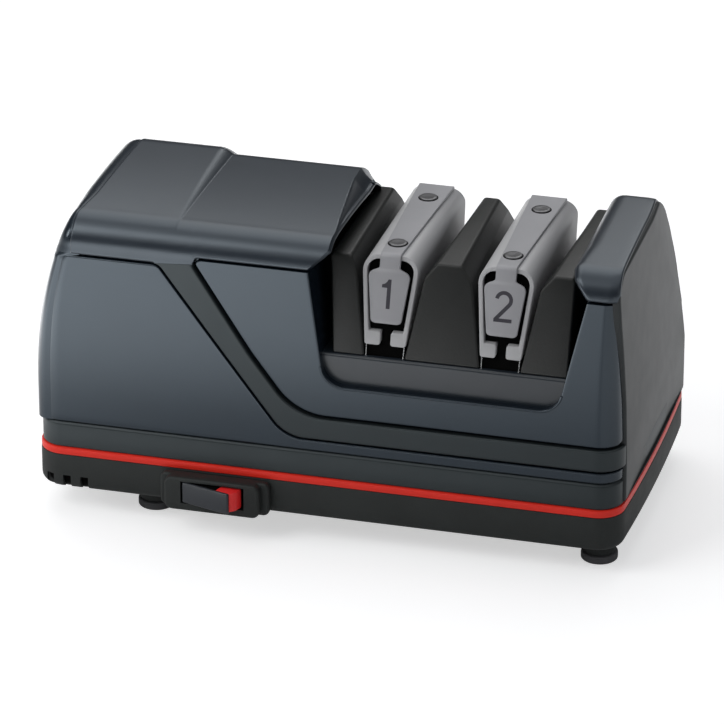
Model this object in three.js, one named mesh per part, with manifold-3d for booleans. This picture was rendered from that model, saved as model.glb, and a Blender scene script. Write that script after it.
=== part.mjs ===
// Two-stage electric knife sharpener, free standing.
// Millimetres, +Z up, +X to the right along the spindle, the user stands at -Y.
// The origin is the bottom centre of the part's own bounding box.
import * as THREE from 'three';
import { mergeVertices } from 'three/addons/utils/BufferGeometryUtils.js';
import Module from 'manifold-3d';

const wasm = await Module();
wasm.setup();

// Housing form: a long box with leaning ends, a near flat roof and a swept back
const bodyLength = 200;
const bodyDepth = 104;
const cornerRadius = 8.5;
const topCornerRadius = 4;
const endCrown = 1.4;
const leanStart = 45;
const leanRise = 4.7;
const leftLean = 12;
const rightLean = 2.2;
const frontLean = 1.4;
const leanPowerShare = 1.7;
const shoulderHeight = 101.3;
const roofRadius = 5.5;
const ridgeRise = 8.2;
const ridgePlace = 8;
const rearSweep = 50;
const rearCurveStart = 40;
const rearCurveOver = 1.5;
const rearPowerShare = 1.7;
const housingWall = 3.2;

// Relief of the housing: belt, crease, proud band and recessed panels
const beltInset = 0.7;
const beltHeight = 9;
const underBand = 4.8;
const bandWidth = 7.5;
const panelDepth = 1.2;
const lipDrop = 4;
const hoodLipDrop = 7.1;
const hoodRise = 2;
const hoodLeftEnd = 15.5;
const hoodLeftTopEnd = 18.5;
const hoodStepShare = 0.52;
const diagonalTopShare = 0.482;
const diagonalLowGap = 7.7;
const diagonalTopWidth = 9.9;
const diagonalLowWidth = 3.3;
const diagonalCurve = 12.7;
const diagonalInnerCurve = 21;
const rearLipHeight = 46;

// Saddle opening through the housing, where the knives go
const towerWidth = 13.8;
const saddleWidth = 91.4;
const saddleLeftSlope = 5.6;
const saddleRightSlope = 9.2;
const saddleDrop = 10.1;
const saddleCorner = 8;
const hoodRightReach = 6.8;
const towerTopReach = 3.4;
const saddleNeckRise = 2.7;
const bulkheadThickness = 2.4;
const bulkheadDrop = 11;

// Right end cap, let into the end of the housing
const capThickness = 3.2;
const capGap = 0.5;
const capProud = 0.2;
const capPegRadius = 2.5;
const capPegLength = 5;
const capPegSpacingShare = 0.5;
const capPegHeight = 62;

// Base tray, trim stripe, feet and screws
const baseBottom = 9.6;
const baseTop = 22;
const baseWall = 2.5;
const baseEdge = 3;
const stripeHeight = 2.6;
const stripeProud = 0.15;
const stripeWidth = 4.5;
const footPadRadius = 5.9;
const footPadHeight = 2.8;
const footPostRadius = 5.2;
const footStemRadius = 2;
const footStemLength = 4;
const footRightEnd = 10.9;
const footLeftEnd = 37.9;
const footInset = 16.3;
const ventWidth = 2.7;
const ventHeight = 4.6;
const ventPitch = 6;
const ventEnd = 6;
const floorVentWidth = 3;
const floorVentLength = 34;
const floorVentPitch = 7;
const screwLeftEnd = 16;
const screwRightEnd = 30;
const screwInset = 9;
const screwRadius = 1.5;
const screwHeadRadius = 3;
const screwHeadHeight = 2.2;
const screwLength = 24;
const bossRadius = 4.4;
const housingBossTop = 40;

// Two pin supply inlet in the rear wall of the base
const inletEnd = 30;
const inletDropShare = 0.4274;
const inletPinPitch = 8.6;
const inletPinRadius = 1.2;
const inletPinLength = 9;
const inletRecessShare = 0.282;
const inletRecessDepth = 11;
const inletWallShare = 0.097;
const inletFlange = 1.4;
const inletFlangeShare = 0.056;

// Power switch in the front wall of the base
const switchEnd = 63.9;
const switchDropShare = 0.4476;
const openingWidth = 21.6;
const openingHeightShare = 0.637;
const bezelWidth = 34.2;
const bezelRise = 0.2;
const bezelDrop = 0.4;
const bezelProud = 6;
const bezelCorner = 2.2;
const bezelFlange = 3;
const bezelFlangeProud = 3;
const rockerReach = 6.55;
const rockerFace = 8.8;
const rockerSwing = 10.5;
const rockerTilt = 16.4;
const rockerPivotDepth = 3.8;
const rockerCapThickness = 1.3;
const rockerTail = 3.4;
const rockerPinRadius = 0.9;
const rockerPinLength = 0.5;
const switchBodyWidth = 25;
const switchHeightShare = 0.694;
const switchDepthShare = 0.1635;
const switchWall = 1.2;

// Knife guides: bed, blocks and sprung arches
const guideStart = 24.4;
const guidePitch = 38.3;
const discTopGap = 1;
const bedThickness = 3;
const bedDrop = 13;
const bedWall = 2.5;
const blockRise = 31.2;
const blockShoulderDrop = 4.9;
const blockFootGap = 6.6;
const blockShoulderGap = 11.2;
const blockTopGap = 15.2;
const blockRearTopGap = 17.2;
const blockLeftGap = 7.1;
const blockRightGap = 6.2;
const faceLeanShare = 0.3;
const blockRearTopInset = 5.48;
const guideFrontInset = 4.6;
const archRearGap = 7.5;
const blockRearGap = 6.87;
const archFootRise = 4;
const archRise = 32.3;
const archShoulderDrop = 5.8;
const archHalfFoot = 6.2;
const archHalfShoulder = 9;
const archHalfTop = 4.6;
const archWall = 1.9;
const hookReach = 4.5;
const hookHeight = 5;
const hookGap = 0.3;
const coreInset = 1.6;
const coreFoot = 6;
const plateThickness = 0.9;
const plateFrontHalf = 3.4;
const plateRearHalf = 6;
const plateRearGap = 10.8;
const tongueGap = 0.4;
const tongueBottomRise = 12;
const tongueShoulderDrop = 5.7;
const tongueNeckDrop = 3.7;
const tongueHalfShoulder = 6.9;
const tongueHalfBottom = 4.7;
const tongueCorner = 2.2;
const rivetFrontGap = 17.6;
const rivetRearGap = 22.2;
const rivetHeadRadius = 3.1;
const rivetHeadHeight = 1.2;
const rivetRadius = 1.3;
const rivetDepth = 4;

// Spindle, conical discs, springs and drive pins
const spindleY = -8;
const spindleHeight = 54;
const spindleRadius = 3;
const spindleTail = 1.5;
const discRadius = 17;
const discRimPlace = 6.9;
const discCone = 1.9;
const discThickness = 1.4;
const hubRadius = 5.6;
const hubInner = 1.3;
const hubOuter = 6.3;
const hubNotch = 1.8;
const hubNotchWidth = 2.4;
const pinRadius = 0.8;
const pinLength = 10.6;
const springWire = 0.9;
const springTurns = 3;
const discTravel = 0.8;
const wellLength = 30;

// Motor: along the spindle its lengths are shares of the room between fan and bulkhead, and below
// the rotor its heights are shares of the room over the base's floor
const fanMargin = 14.5;
const fanGap = 1;
const fanWidthShare = 0.1288;
const bracketReachShare = 0.1431;
const statorStackShare = 0.3147;
const rotorOverShare = 0.0286;
const coilOverShare = 0.1144;
const statorHalfWidthShare = 0.25;
const statorRise = 20;
const statorBottomShare = 0.368;
const statorLegShare = 0.304;
const statorWindowShare = 0.909;
const coilWallShare = 0.2;
const rotorRadius = 11.8;
const airGap = 0.5;
const statorWindowHalfShare = 0.692;
const bracketThickness = 2;
const bracketHalf = 20;
const bracketHeight = 16;
const bearingRadius = 5;
const bearingLength = 6;
const bearingFlange = 1.2;
const bearingFlangeRadius = 7;
const boltRadius = 1.6;
const boltHeadRadius = 2.8;
const boltHeadHeight = 2;
const fanRadius = 23;
const fanHubRadius = 6;
const fanBlades = 8;
const fanBladeThickness = 1.1;

// Clearances: between touching pieces, and round the running shaft
const clearance = 0.3;
const runningGap = 0.08;
const overrun = 150;
const curveSteps = 5;
const meshTolerance = 0.04;

// Derived places: heights of the casing
const halfLength = bodyLength / 2;
const halfDepth = bodyDepth / 2;
const baseHeight = baseTop - baseBottom;
const housingBottom = baseTop + stripeHeight;
const creaseHeight = housingBottom + beltHeight;
const bandBottom = creaseHeight + underBand;
const bandTop = bandBottom + bandWidth;
const frontTop = -halfDepth + frontLean;
const ridgeHeight = shoulderHeight + ridgeRise;
const leanTop = shoulderHeight + leanRise;
const rearCurveRise = ridgeHeight + rearCurveOver - rearCurveStart;
const lipHeight = shoulderHeight - lipDrop;
const hoodLipHeight = shoulderHeight - hoodLipDrop;
const saddleNeckHeight = shoulderHeight + saddleNeckRise;

// Sizes in the base that follow its height and depth
const footSide = halfDepth - footInset;
const screwSide = halfDepth - screwInset;
const inletHeight = baseTop - baseHeight * inletDropShare;
const inletRecessRadius = baseHeight * inletRecessShare;
const inletWall = baseHeight * inletWallShare;
const inletFlangeReach = baseHeight * inletFlangeShare;
const switchHeight = baseTop - baseHeight * switchDropShare;
const openingHeight = baseHeight * openingHeightShare;
const bezelBottom = baseBottom + bezelRise;
const bezelTop = baseTop - bezelDrop;
const switchBodyHeight = baseHeight * switchHeightShare;
const switchBodyDepth = bodyDepth * switchDepthShare;

// Places along the casing, from its two ends
const saddleRight = halfLength - towerWidth;
const saddleLeft = saddleRight - saddleWidth;
const saddleBottomLeft = saddleLeft + saddleLeftSlope;
const saddleBottomRight = saddleRight - saddleRightSlope;
const hoodRight = saddleLeft + hoodRightReach;
const towerLeft = saddleRight - towerTopReach;
const bulkheads = [saddleLeft - bulkheadThickness, saddleRight + clearance];
const motorBay = bulkheads[0] + halfLength;
const hoodLeft = -halfLength + hoodLeftEnd;
const hoodLeftTop = -halfLength + hoodLeftTopEnd;
const hoodStep = -halfLength + motorBay * hoodStepShare;
const diagonalTop = -halfLength + motorBay * diagonalTopShare;
const diagonalLow = saddleLeft - diagonalLowGap;
const footLeft = -halfLength + footLeftEnd;
const footRight = halfLength - footRightEnd;
const screwLeft = -halfLength + screwLeftEnd;
const screwRight = halfLength - screwRightEnd;
const inletPlace = -halfLength + inletEnd;
const switchPlace = -halfLength + switchEnd;
const bezelFace = -halfDepth - bezelProud;
const rockerPivotY = bezelFace + rockerPivotDepth;

// Guides over the spindle
const guideFirst = saddleLeft + guideStart;
const guideSecond = guideFirst + guidePitch;
const guides = [guideFirst, guideSecond];
const archFoot = spindleHeight + discRadius + discTopGap;
const bedTop = archFoot - archFootRise;
const saddleFloor = bedTop - saddleDrop;
const bulkheadBottom = spindleHeight - bulkheadDrop;
const blockTop = bedTop + blockRise;
const blockShoulder = blockTop - blockShoulderDrop;
const blockLeft = saddleLeft + blockLeftGap;
const blockRight = saddleRight - blockRightGap;
const guideFront = -halfDepth + guideFrontInset;
const blockRear = rearWall(bedTop) - blockRearGap;
const blockRearTop = rearWall(blockTop) - blockRearTopInset;
const archRear = blockRear - archRearGap;
const archTop = bedTop + archRise;
const archShoulder = archTop - archShoulderDrop;
const plateRear = archRear - plateRearGap;
const rivetFront = guideFront + rivetFrontGap;
const rivetRear = archRear - rivetRearGap;
const tongueBottom = bedTop + tongueBottomRise;
const tongueShoulder = archTop - tongueShoulderDrop;
const tongueNeck = archTop - tongueNeckDrop;

// Motor round the spindle
const bearingReach = bracketThickness + clearance + bearingFlange;
const motorRoom = motorBay - fanMargin - fanGap - 2 * bearingReach;
const fanWidth = motorRoom * fanWidthShare;
const bracketReach = motorRoom * bracketReachShare;
const statorStack = motorRoom * statorStackShare;
const rotorLength = statorStack + motorRoom * rotorOverShare;
const coilLength = statorStack + motorRoom * coilOverShare;
const fanPlace = -halfLength + fanMargin + fanWidth / 2;
const statorPlace = fanPlace + fanWidth / 2 + fanGap + bearingReach + bracketReach + statorStack / 2;
const baseFloor = baseBottom + baseWall;
const underRotor = spindleHeight - rotorRadius - airGap - baseFloor;
const statorHalfWidth = bodyDepth * statorHalfWidthShare;
const statorWindowHalf = statorHalfWidth * statorWindowHalfShare;
const statorTop = spindleHeight + statorRise;
const statorBottom = baseFloor + underRotor * statorBottomShare;
const statorLeg = underRotor * statorLegShare;
const statorWindowTop = baseFloor + underRotor * statorWindowShare;
const coilWall = underRotor * coilWallShare;
const spindleLeft = fanPlace - fanWidth / 2 - spindleTail;
const spindleRight = bulkheads[1] + bulkheadThickness + clearance + bearingFlange;
const boltHeight = spindleHeight + bracketHeight - 2 * boltHeadRadius;
const toRadians = Math.PI / 180;

// Solids: turning three.js geometry into closed solids and back

function solid(geometry) {
  const bare = geometry.clone();
  bare.deleteAttribute('normal');
  bare.deleteAttribute('uv');
  const merged = mergeVertices(bare);
  const index = merged.index ? merged.index.array : [...Array(merged.attributes.position.count).keys()];
  return new wasm.Manifold(new wasm.Mesh({
    numProp: 3,
    vertProperties: new Float32Array(merged.attributes.position.array),
    triVerts: new Uint32Array(index),
  }));
}

function surface(body) {
  const mesh = body.simplify(meshTolerance).getMesh();
  const stride = mesh.numProp;
  const count = mesh.vertProperties.length / stride;
  const points = new Float32Array(count * 3);
  for (let i = 0; i < count; i++) {
    for (let k = 0; k < 3; k++) points[3 * i + k] = mesh.vertProperties[stride * i + k];
  }
  const geometry = new THREE.BufferGeometry();
  geometry.setAttribute('position', new THREE.BufferAttribute(points, 3));
  geometry.setIndex([...mesh.triVerts]);
  const flat = geometry.toNonIndexed();
  flat.computeVertexNormals();
  return flat;
}

const join = (first, ...rest) => rest.reduce((sum, one) => sum.add(one), first);
const cut = (first, ...rest) => rest.reduce((sum, one) => sum.subtract(one), first);

// Outlines and prisms

// A closed outline; a third number in a point is the radius of its corner.
function outline(points) {
  const shape = new THREE.Shape();
  const count = points.length;
  points.forEach((point, i) => {
    const here = new THREE.Vector2(point[0], point[1]);
    const radius = point[2] || 0;
    if (radius === 0) {
      if (i === 0) shape.moveTo(here.x, here.y);
      else shape.lineTo(here.x, here.y);
      return;
    }
    const towards = (other) => new THREE.Vector2(other[0], other[1]).sub(here).normalize();
    const before = towards(points[(i + count - 1) % count]);
    const after = towards(points[(i + 1) % count]);
    const half = Math.acos(THREE.MathUtils.clamp(before.dot(after), -1, 1)) / 2;
    const back = radius / Math.tan(half);
    const start = before.clone().multiplyScalar(back).add(here);
    const end = after.clone().multiplyScalar(back).add(here);
    const centre = before.clone().add(after).normalize().multiplyScalar(radius / Math.sin(half)).add(here);
    const from = Math.atan2(start.y - centre.y, start.x - centre.x);
    const to = Math.atan2(end.y - centre.y, end.x - centre.x);
    const clockwise = before.x * after.y - before.y * after.x > 0;
    if (i === 0) shape.moveTo(start.x, start.y);
    else shape.lineTo(start.x, start.y);
    shape.absarc(centre.x, centre.y, radius, from, to, clockwise);
  });
  return shape;
}

function extruded(shape, thickness, steps = curveSteps) {
  return new THREE.ExtrudeGeometry(shape, { depth: thickness, bevelEnabled: false, curveSegments: steps });
}

// A prism along Y from an outline in (x, z)
function prismY(shape, from, to, steps) {
  const geometry = extruded(shape, to - from, steps);
  geometry.rotateX(Math.PI / 2);
  geometry.translate(0, to, 0);
  return solid(geometry);
}

// A prism along X from an outline in (y, z)
function prismX(shape, from, to, steps) {
  const geometry = extruded(shape, to - from, steps);
  geometry.rotateX(Math.PI / 2);
  geometry.rotateZ(Math.PI / 2);
  geometry.translate(from, 0, 0);
  return solid(geometry);
}

// A prism along Z from an outline in (x, y)
function prismZ(shape, from, to, steps) {
  const geometry = extruded(shape, to - from, steps);
  geometry.translate(0, 0, from);
  return solid(geometry);
}

function box(x, y, z) {
  const geometry = new THREE.BoxGeometry(x[1] - x[0], y[1] - y[0], z[1] - z[0]);
  geometry.translate((x[0] + x[1]) / 2, (y[0] + y[1]) / 2, (z[0] + z[1]) / 2);
  return solid(geometry);
}

// A turned solid about +Z from (radius, height) points
function turned(profile, sides) {
  return solid(new THREE.LatheGeometry(profile.map(([r, h]) => new THREE.Vector2(r, h)), sides));
}

// A turned solid about the X axis through (0, y, z)
function turnedX(profile, sides, y, z) {
  const geometry = new THREE.LatheGeometry(profile.map(([r, h]) => new THREE.Vector2(r, h)), sides);
  geometry.rotateZ(-Math.PI / 2);
  geometry.translate(0, y, z);
  return solid(geometry);
}

function rod(radius, from, to, sides) {
  return [[0, from], [radius, from], [radius, to], [0, to]];
}

function tube(inner, outer, from, to) {
  return [[inner, from], [outer, from], [outer, to], [inner, to], [inner, from]];
}

function post(x, y, radius, from, to, sides = 12) {
  const profile = rod(radius, from, to).map(([r, h]) => new THREE.Vector2(r, h));
  const geometry = new THREE.LatheGeometry(profile, sides);
  geometry.rotateX(Math.PI / 2);
  geometry.translate(x, y, 0);
  return solid(geometry);
}

// A skin over rings of points that all have the same count, closed at both ends
function loft(rings) {
  const count = rings[0].length;
  const points = rings.flat(2);
  const faces = [];
  for (let r = 0; r + 1 < rings.length; r++) {
    for (let i = 0; i < count; i++) {
      const a = r * count + i;
      const b = r * count + (i + 1) % count;
      faces.push(a, b, b + count, a, b + count, a + count);
    }
  }
  const last = (rings.length - 1) * count;
  for (let i = 1; i + 1 < count; i++) {
    faces.push(0, i + 1, i, last, last + i, last + i + 1);
  }
  const geometry = new THREE.BufferGeometry();
  geometry.setAttribute('position', new THREE.BufferAttribute(new Float32Array(points), 3));
  geometry.setIndex(faces);
  return solid(geometry);
}

// The housing form

function leanShare(z) {
  const share = Math.max(0, (z - leanStart) / (leanTop - leanStart));
  return share ** leanPowerShare;
}

function rearWall(z) {
  const share = THREE.MathUtils.clamp((z - rearCurveStart) / rearCurveRise, 0, 1);
  return halfDepth - rearSweep + rearSweep * (1 - share ** rearPowerShare) ** (1 / rearPowerShare);
}

// One level of the form: a rounded box outline with crowned ends, moved out by grow
function formRing(z, grow, steps = curveSteps) {
  const level = z - grow;
  const left = -halfLength + leftLean * leanShare(level) - grow;
  const right = halfLength - rightLean * leanShare(level) + grow;
  const front = -halfDepth + frontLean * Math.min(1, leanShare(level)) - grow;
  const rear = rearWall(level) + grow;
  const soft = Math.min(1, leanShare(level));
  const radius = Math.max(clearance, cornerRadius + (topCornerRadius - cornerRadius) * soft + grow);
  const corners = [
    [right - radius, front + radius, -90], [right - radius, rear - radius, 0],
    [left + radius, rear - radius, 90], [left + radius, front + radius, 180],
  ];
  const ring = [];
  corners.forEach(([cx, cy, start], k) => {
    for (let i = 0; i <= steps; i++) {
      const angle = (start + 90 * i / steps) * toRadians;
      ring.push([cx + radius * Math.cos(angle), cy + radius * Math.sin(angle), z]);
    }
    if (k % 2 === 0) {
      const other = corners[k + 1];
      for (let i = 1; i < 4; i++) {
        const x = k === 0 ? right : left;
        ring.push([x, cy + (other[1] - cy) * i / 4, z]);
      }
    }
  });
  return ring.map(([x, y]) => [x - Math.sign(x) * endCrown * (y / halfDepth) ** 2, y, z]);
}

// The roof seen from the end: front shoulder, gentle rise, level past the ridge
function roofOutline(grow) {
  const roofEdge = shoulderHeight + roofRadius;
  const radius = Math.max(clearance, roofRadius + grow);
  const shape = new THREE.Shape();
  shape.moveTo(-overrun, -overrun);
  shape.lineTo(-overrun, roofEdge + grow - radius);
  shape.lineTo(frontTop - grow, roofEdge + grow - radius);
  shape.absarc(frontTop - grow + radius, roofEdge + grow - radius, radius, Math.PI, Math.PI / 2, true);
  shape.quadraticCurveTo((frontTop + ridgePlace) / 2, ridgeHeight + grow - (ridgeHeight - roofEdge) / 4,
    ridgePlace, ridgeHeight + grow);
  shape.lineTo(overrun, ridgeHeight + grow);
  shape.lineTo(overrun, -overrun);
  return shape;
}

function formSolid(grow, from = housingBottom, count = 9, steps = curveSteps) {
  const top = ridgeHeight + grow;
  const rings = [];
  for (let i = 0; i <= count; i++) {
    const share = i / count;
    const z = from + (top - from) * (1 - (1 - share) ** (1 + share / 2));
    rings.push(formRing(z, grow, steps));
  }
  return loft(rings).intersect(prismX(roofOutline(grow), -overrun, overrun, curveSteps));
}

// Outline of the saddle opening in the front view, wider at the lip than at the roof
function saddleOutline(grow) {
  return outline([
    [hoodRight - grow, overrun], [hoodRight - grow, saddleNeckHeight], [saddleLeft - grow, lipHeight],
    [saddleBottomLeft - grow, saddleFloor + 2 * saddleCorner, 0],
    [saddleBottomLeft - grow, saddleFloor - grow, saddleCorner],
    [saddleBottomRight + grow, saddleFloor - grow, saddleCorner],
    [saddleBottomRight + grow, saddleFloor + 2 * saddleCorner, 0],
    [saddleRight + grow, lipHeight], [towerLeft + grow, saddleNeckHeight], [towerLeft + grow, overrun],
  ]);
}

// Recessed panels: left of the diagonal band and under the long band, round the left end
function outerPanel() {
  return outline([
    [-overrun, creaseHeight], [overrun, creaseHeight], [overrun, bandTop], [halfLength, bandTop],
    [halfLength - cornerRadius, bandBottom, cornerRadius],
    [diagonalLow, bandBottom, diagonalCurve], [diagonalTop, hoodLipHeight],
    [hoodLeft, hoodLipHeight], [hoodLeft, lipHeight], [hoodLeftTop, shoulderHeight + roofRadius],
    [hoodLeftTop, overrun], [-overrun, overrun],
  ]);
}

// Recessed panel right of the diagonal band, round the saddle
function innerPanel() {
  return outline([
    [diagonalTop + diagonalTopWidth, lipHeight],
    [diagonalLow + diagonalLowWidth, bandTop, diagonalInnerCurve],
    [overrun, bandTop], [overrun, lipHeight],
  ]);
}

function rearPanel() {
  return outline([
    [-overrun, creaseHeight], [overrun, creaseHeight], [overrun, rearLipHeight],
    [hoodLeft, rearLipHeight], [hoodLeftTop, shoulderHeight + roofRadius], [hoodLeftTop, overrun],
    [-overrun, overrun],
  ]);
}

// The left part of the roof stands higher at the ridge, and fades into the casing at both lips
function raisedHood() {
  return formSolid(0, creaseHeight).warp((point) => {
    const share = THREE.MathUtils.clamp((point[1] - frontTop) / (ridgePlace - frontTop), 0, 1);
    if (point[2] > lipHeight || point[1] > ridgePlace) point[2] += hoodRise * share;
  }).intersect(raisedHoodRegion());
}

function raisedHoodRegion() {
  const front = outline([
    [hoodLeft, hoodLipHeight], [diagonalTop, hoodLipHeight], [hoodStep, lipHeight + panelDepth],
    [hoodStep, overrun], [hoodLeftTop, overrun], [hoodLeftTop, shoulderHeight + roofRadius],
    [hoodLeft, lipHeight],
  ]);
  const rear = outline([
    [hoodLeft, rearLipHeight], [hoodStep, rearLipHeight], [hoodStep, overrun],
    [hoodLeftTop, overrun], [hoodLeftTop, shoulderHeight + roofRadius],
  ]);
  return prismY(front, -overrun, 0).add(prismY(rear, 0, overrun));
}

// The cap's outline seen from the end: inside the corner radii, just under the roof
function capOutline(grow) {
  const inset = (z) => cornerRadius + (topCornerRadius - cornerRadius) * Math.min(1, leanShare(z)) - grow;
  const front = [housingBottom, leanStart, (leanStart + lipHeight) / 2, lipHeight]
    .map((z) => [-halfDepth + frontLean * leanShare(z) + inset(z), z]);
  const rear = [housingBottom, leanStart, (leanStart + ridgeHeight) / 2, ridgeHeight - 2 * roofRadius,
    ridgeHeight - topCornerRadius].map((z) => [rearWall(z) - inset(z), z]);
  const roof = [[frontTop + roofRadius - grow, shoulderHeight + roofRadius - capGap + grow],
    [ridgePlace, ridgeHeight - capGap + grow]];
  front[0][1] -= housingBottom;
  rear[0][1] -= housingBottom;
  return outline([...front, ...roof, ...rear.reverse()]);
}

// Everything right of the leaning plane that lies the given depth under the end face
function rightOf(depthIn) {
  const place = (z) => halfLength - rightLean * leanShare(z) - depthIn;
  const levels = [leanStart, (leanStart + leanTop) / 2, leanTop];
  return prismY(outline([
    [place(0), -overrun], [overrun, -overrun], [overrun, overrun], [place(leanTop), overrun],
    ...levels.reverse().map((z) => [place(z), z]),
  ]), -overrun, overrun);
}

function capPegs(radius, length) {
  const from = halfLength - capThickness - length;
  return [-1, 1].map((side) => turnedX(rod(radius, from, halfLength - capThickness + capGap), 16,
    spindleY + side * bodyDepth * capPegSpacingShare / 2, capPegHeight));
}

function housingShell() {
  const far = [-overrun, overrun];
  let body = formSolid(0, creaseHeight).add(formSolid(-beltInset, housingBottom));
  body = body.add(raisedHood());
  const skin = formSolid(-panelDepth, housingBottom);
  body = cut(body,
    prismY(outerPanel(), -overrun, 0, 2 * curveSteps).subtract(skin),
    prismY(innerPanel(), -overrun, 0, 2 * curveSteps).subtract(skin),
    prismY(rearPanel(), 0, overrun).subtract(skin));
  const pocket = prismX(capOutline(0), halfLength / 2, overrun).intersect(rightOf(capThickness));
  const cavity = formSolid(-housingWall, housingBottom - housingWall, 8, 3)
    .subtract(rightOf(capThickness + housingWall));
  const walls = bulkheads.map((x) => box([x, x + bulkheadThickness], far, [bulkheadBottom, overrun])
    .intersect(formSolid(-housingWall / 2, housingBottom)));
  const bosses = [[screwLeft, 1], [screwLeft, -1], [screwRight, 1], [screwRight, -1]].map(([x, side]) =>
    box([x - bossRadius, x + bossRadius],
      [Math.min(side * screwSide, side * halfDepth), Math.max(side * screwSide, side * halfDepth)],
      [housingBottom + clearance, housingBossTop])
      .intersect(formSolid(-housingWall / 2, housingBottom))
      .add(post(x, side * screwSide, bossRadius, housingBottom + clearance, housingBossTop)));
  body = cut(body, pocket, cavity);
  body = join(body, ...walls, ...bosses);
  const shaftHoles = turnedX(rod(bearingRadius + clearance, -overrun, overrun), 16, spindleY, spindleHeight)
    .intersect(box([bulkheads[0] - clearance, bulkheads[1] + bulkheadThickness + clearance], far, far));
  const screwHoles = screwPlaces().map(([x, y]) =>
    post(x, y, screwRadius + clearance, housingBottom - clearance, screwTop() + clearance, 8));
  return cut(body, prismY(saddleOutline(0), -overrun, overrun, curveSteps), shaftHoles,
    ...capPegs(capPegRadius + clearance, 3 * capPegLength), ...screwHoles);
}

function rightEndCap() {
  const plate = formSolid(capProud, housingBottom)
    .intersect(prismX(capOutline(-capGap), halfLength / 2, overrun))
    .intersect(rightOf(capThickness - clearance));
  return join(plate.intersect(box([0, overrun], [-overrun, overrun], [housingBottom, overrun])),
    ...capPegs(capPegRadius, capPegLength));
}

// Stripe, base, feet and screws

function footprint(grow, z) {
  const ring = formRing(rearCurveStart + grow, grow);
  return ring.map(([x, y]) => [x, y, z]);
}

function stripeTrim() {
  const outer = loft([footprint(stripeProud, baseTop), footprint(stripeProud, housingBottom)]);
  const inner = loft([footprint(-stripeWidth, baseTop - clearance),
    footprint(-stripeWidth, housingBottom + clearance)]);
  return cut(outer, inner, ...screwPlaces().map(([x, y]) =>
    post(x, y, bossRadius + clearance, baseTop - clearance, housingBottom + clearance)));
}

function screwPlaces() {
  return [[screwLeft, -screwSide], [screwRight, -screwSide], [screwRight, screwSide], [screwLeft, screwSide]];
}

function footPlaces() {
  return [[footLeft, -footSide], [footRight, -footSide], [footRight, footSide], [footLeft, footSide]];
}

function screwBottom() {
  return baseBottom + clearance;
}

function screwTop() {
  return screwBottom() + screwHeadHeight + screwLength;
}

function baseVents() {
  const vents = [];
  for (const side of [-1, 1]) {
    for (let i = 0; i < 3; i++) {
      const x = -halfLength + ventEnd + i * ventPitch;
      vents.push(box([x - ventWidth / 2, x + ventWidth / 2],
        side < 0 ? [-overrun, -halfDepth + 2 * cornerRadius] : [halfDepth - 2 * cornerRadius, overrun],
        [baseBottom - overrun, baseBottom + ventHeight]));
    }
  }
  for (let i = 0; i < 5; i++) {
    const x = statorPlace + statorHalfWidth + (i + 2) * floorVentPitch;
    vents.push(box([x - floorVentWidth / 2, x + floorVentWidth / 2],
      [-floorVentLength / 2, floorVentLength / 2], [0, baseBottom + 2 * baseWall]));
  }
  return vents;
}

function baseTray() {
  const outer = loft([
    footprint(-baseEdge, baseBottom), footprint(-baseEdge / 3, baseBottom + baseEdge / 3),
    footprint(0, baseBottom + baseEdge), footprint(0, baseTop),
  ]);
  const inner = loft([footprint(-baseEdge - baseWall, baseBottom + baseWall),
    footprint(-baseWall, baseBottom + baseWall + baseEdge), footprint(-baseWall, baseTop + clearance)]);
  const feet = footPlaces().map(([x, y]) => post(x, y, footPostRadius, footPadHeight, baseBottom + baseWall));
  const floor = baseBottom + baseWall / 2;
  const bosses = screwPlaces().map(([x, y]) =>
    post(x, y, bossRadius, floor, housingBottom));
  const shelf = statorPlace - statorStack / 2;
  const cradles = [-1, 1].map((side) => {
    const y = spindleY + side * (statorHalfWidth - baseWall);
    return box([shelf, shelf + statorStack], [y - baseWall, y + baseWall], [floor, statorBottom - clearance]);
  });
  const windowHalf = switchBodyWidth / 2 + clearance;
  const window = box([switchPlace - windowHalf, switchPlace + windowHalf],
    [-overrun, -halfDepth + switchBodyDepth + 2 * baseWall],
    [switchHeight - switchBodyHeight / 2 - clearance, switchHeight + switchBodyHeight / 2 + clearance]);
  const inletHole = prismY(inletOutline(inletRecessRadius + inletWall), inletBack() - 2 * inletWall, overrun);
  const screwHoles = screwPlaces().map(([x, y]) => join(
    post(x, y, screwRadius + clearance, 0, housingBottom + clearance, 8),
    post(x, y, screwHeadRadius + clearance, 0, screwBottom() + screwHeadHeight + clearance)));
  const sockets = footPlaces().map(([x, y]) =>
    post(x, y, footStemRadius + clearance, 0, footPadHeight + footStemLength + clearance, 8));
  const tray = join(outer.subtract(inner), ...feet, ...bosses, ...cradles);
  return cut(tray, window, inletHole, ...screwHoles, ...sockets, ...baseVents());
}

function circle(x, y, radius) {
  const shape = new THREE.Shape();
  shape.absarc(x, y, radius, 0, 2 * Math.PI, false);
  return shape;
}

function footPad([x, y]) {
  const edge = footPadHeight / 8;
  const pad = turned([[0, 0], [footPadRadius - edge, 0], [footPadRadius, edge],
    [footPadRadius, footPadHeight - edge], [footPadRadius - edge, footPadHeight - clearance],
    [footStemRadius, footPadHeight - clearance], [footStemRadius, footPadHeight + footStemLength],
    [0, footPadHeight + footStemLength]], 16);
  return pad.rotate([90, 0, 0]).translate([x, y, 0]);
}

function baseScrew([x, y]) {
  const low = screwBottom();
  const screw = turned([[0, low], [screwHeadRadius, low], [screwHeadRadius, low + screwHeadHeight],
    [screwRadius, low + screwHeadHeight], [screwRadius, screwTop()], [0, screwTop()]], 12);
  return screw.rotate([90, 0, 0]).translate([x, y, 0]);
}

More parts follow.
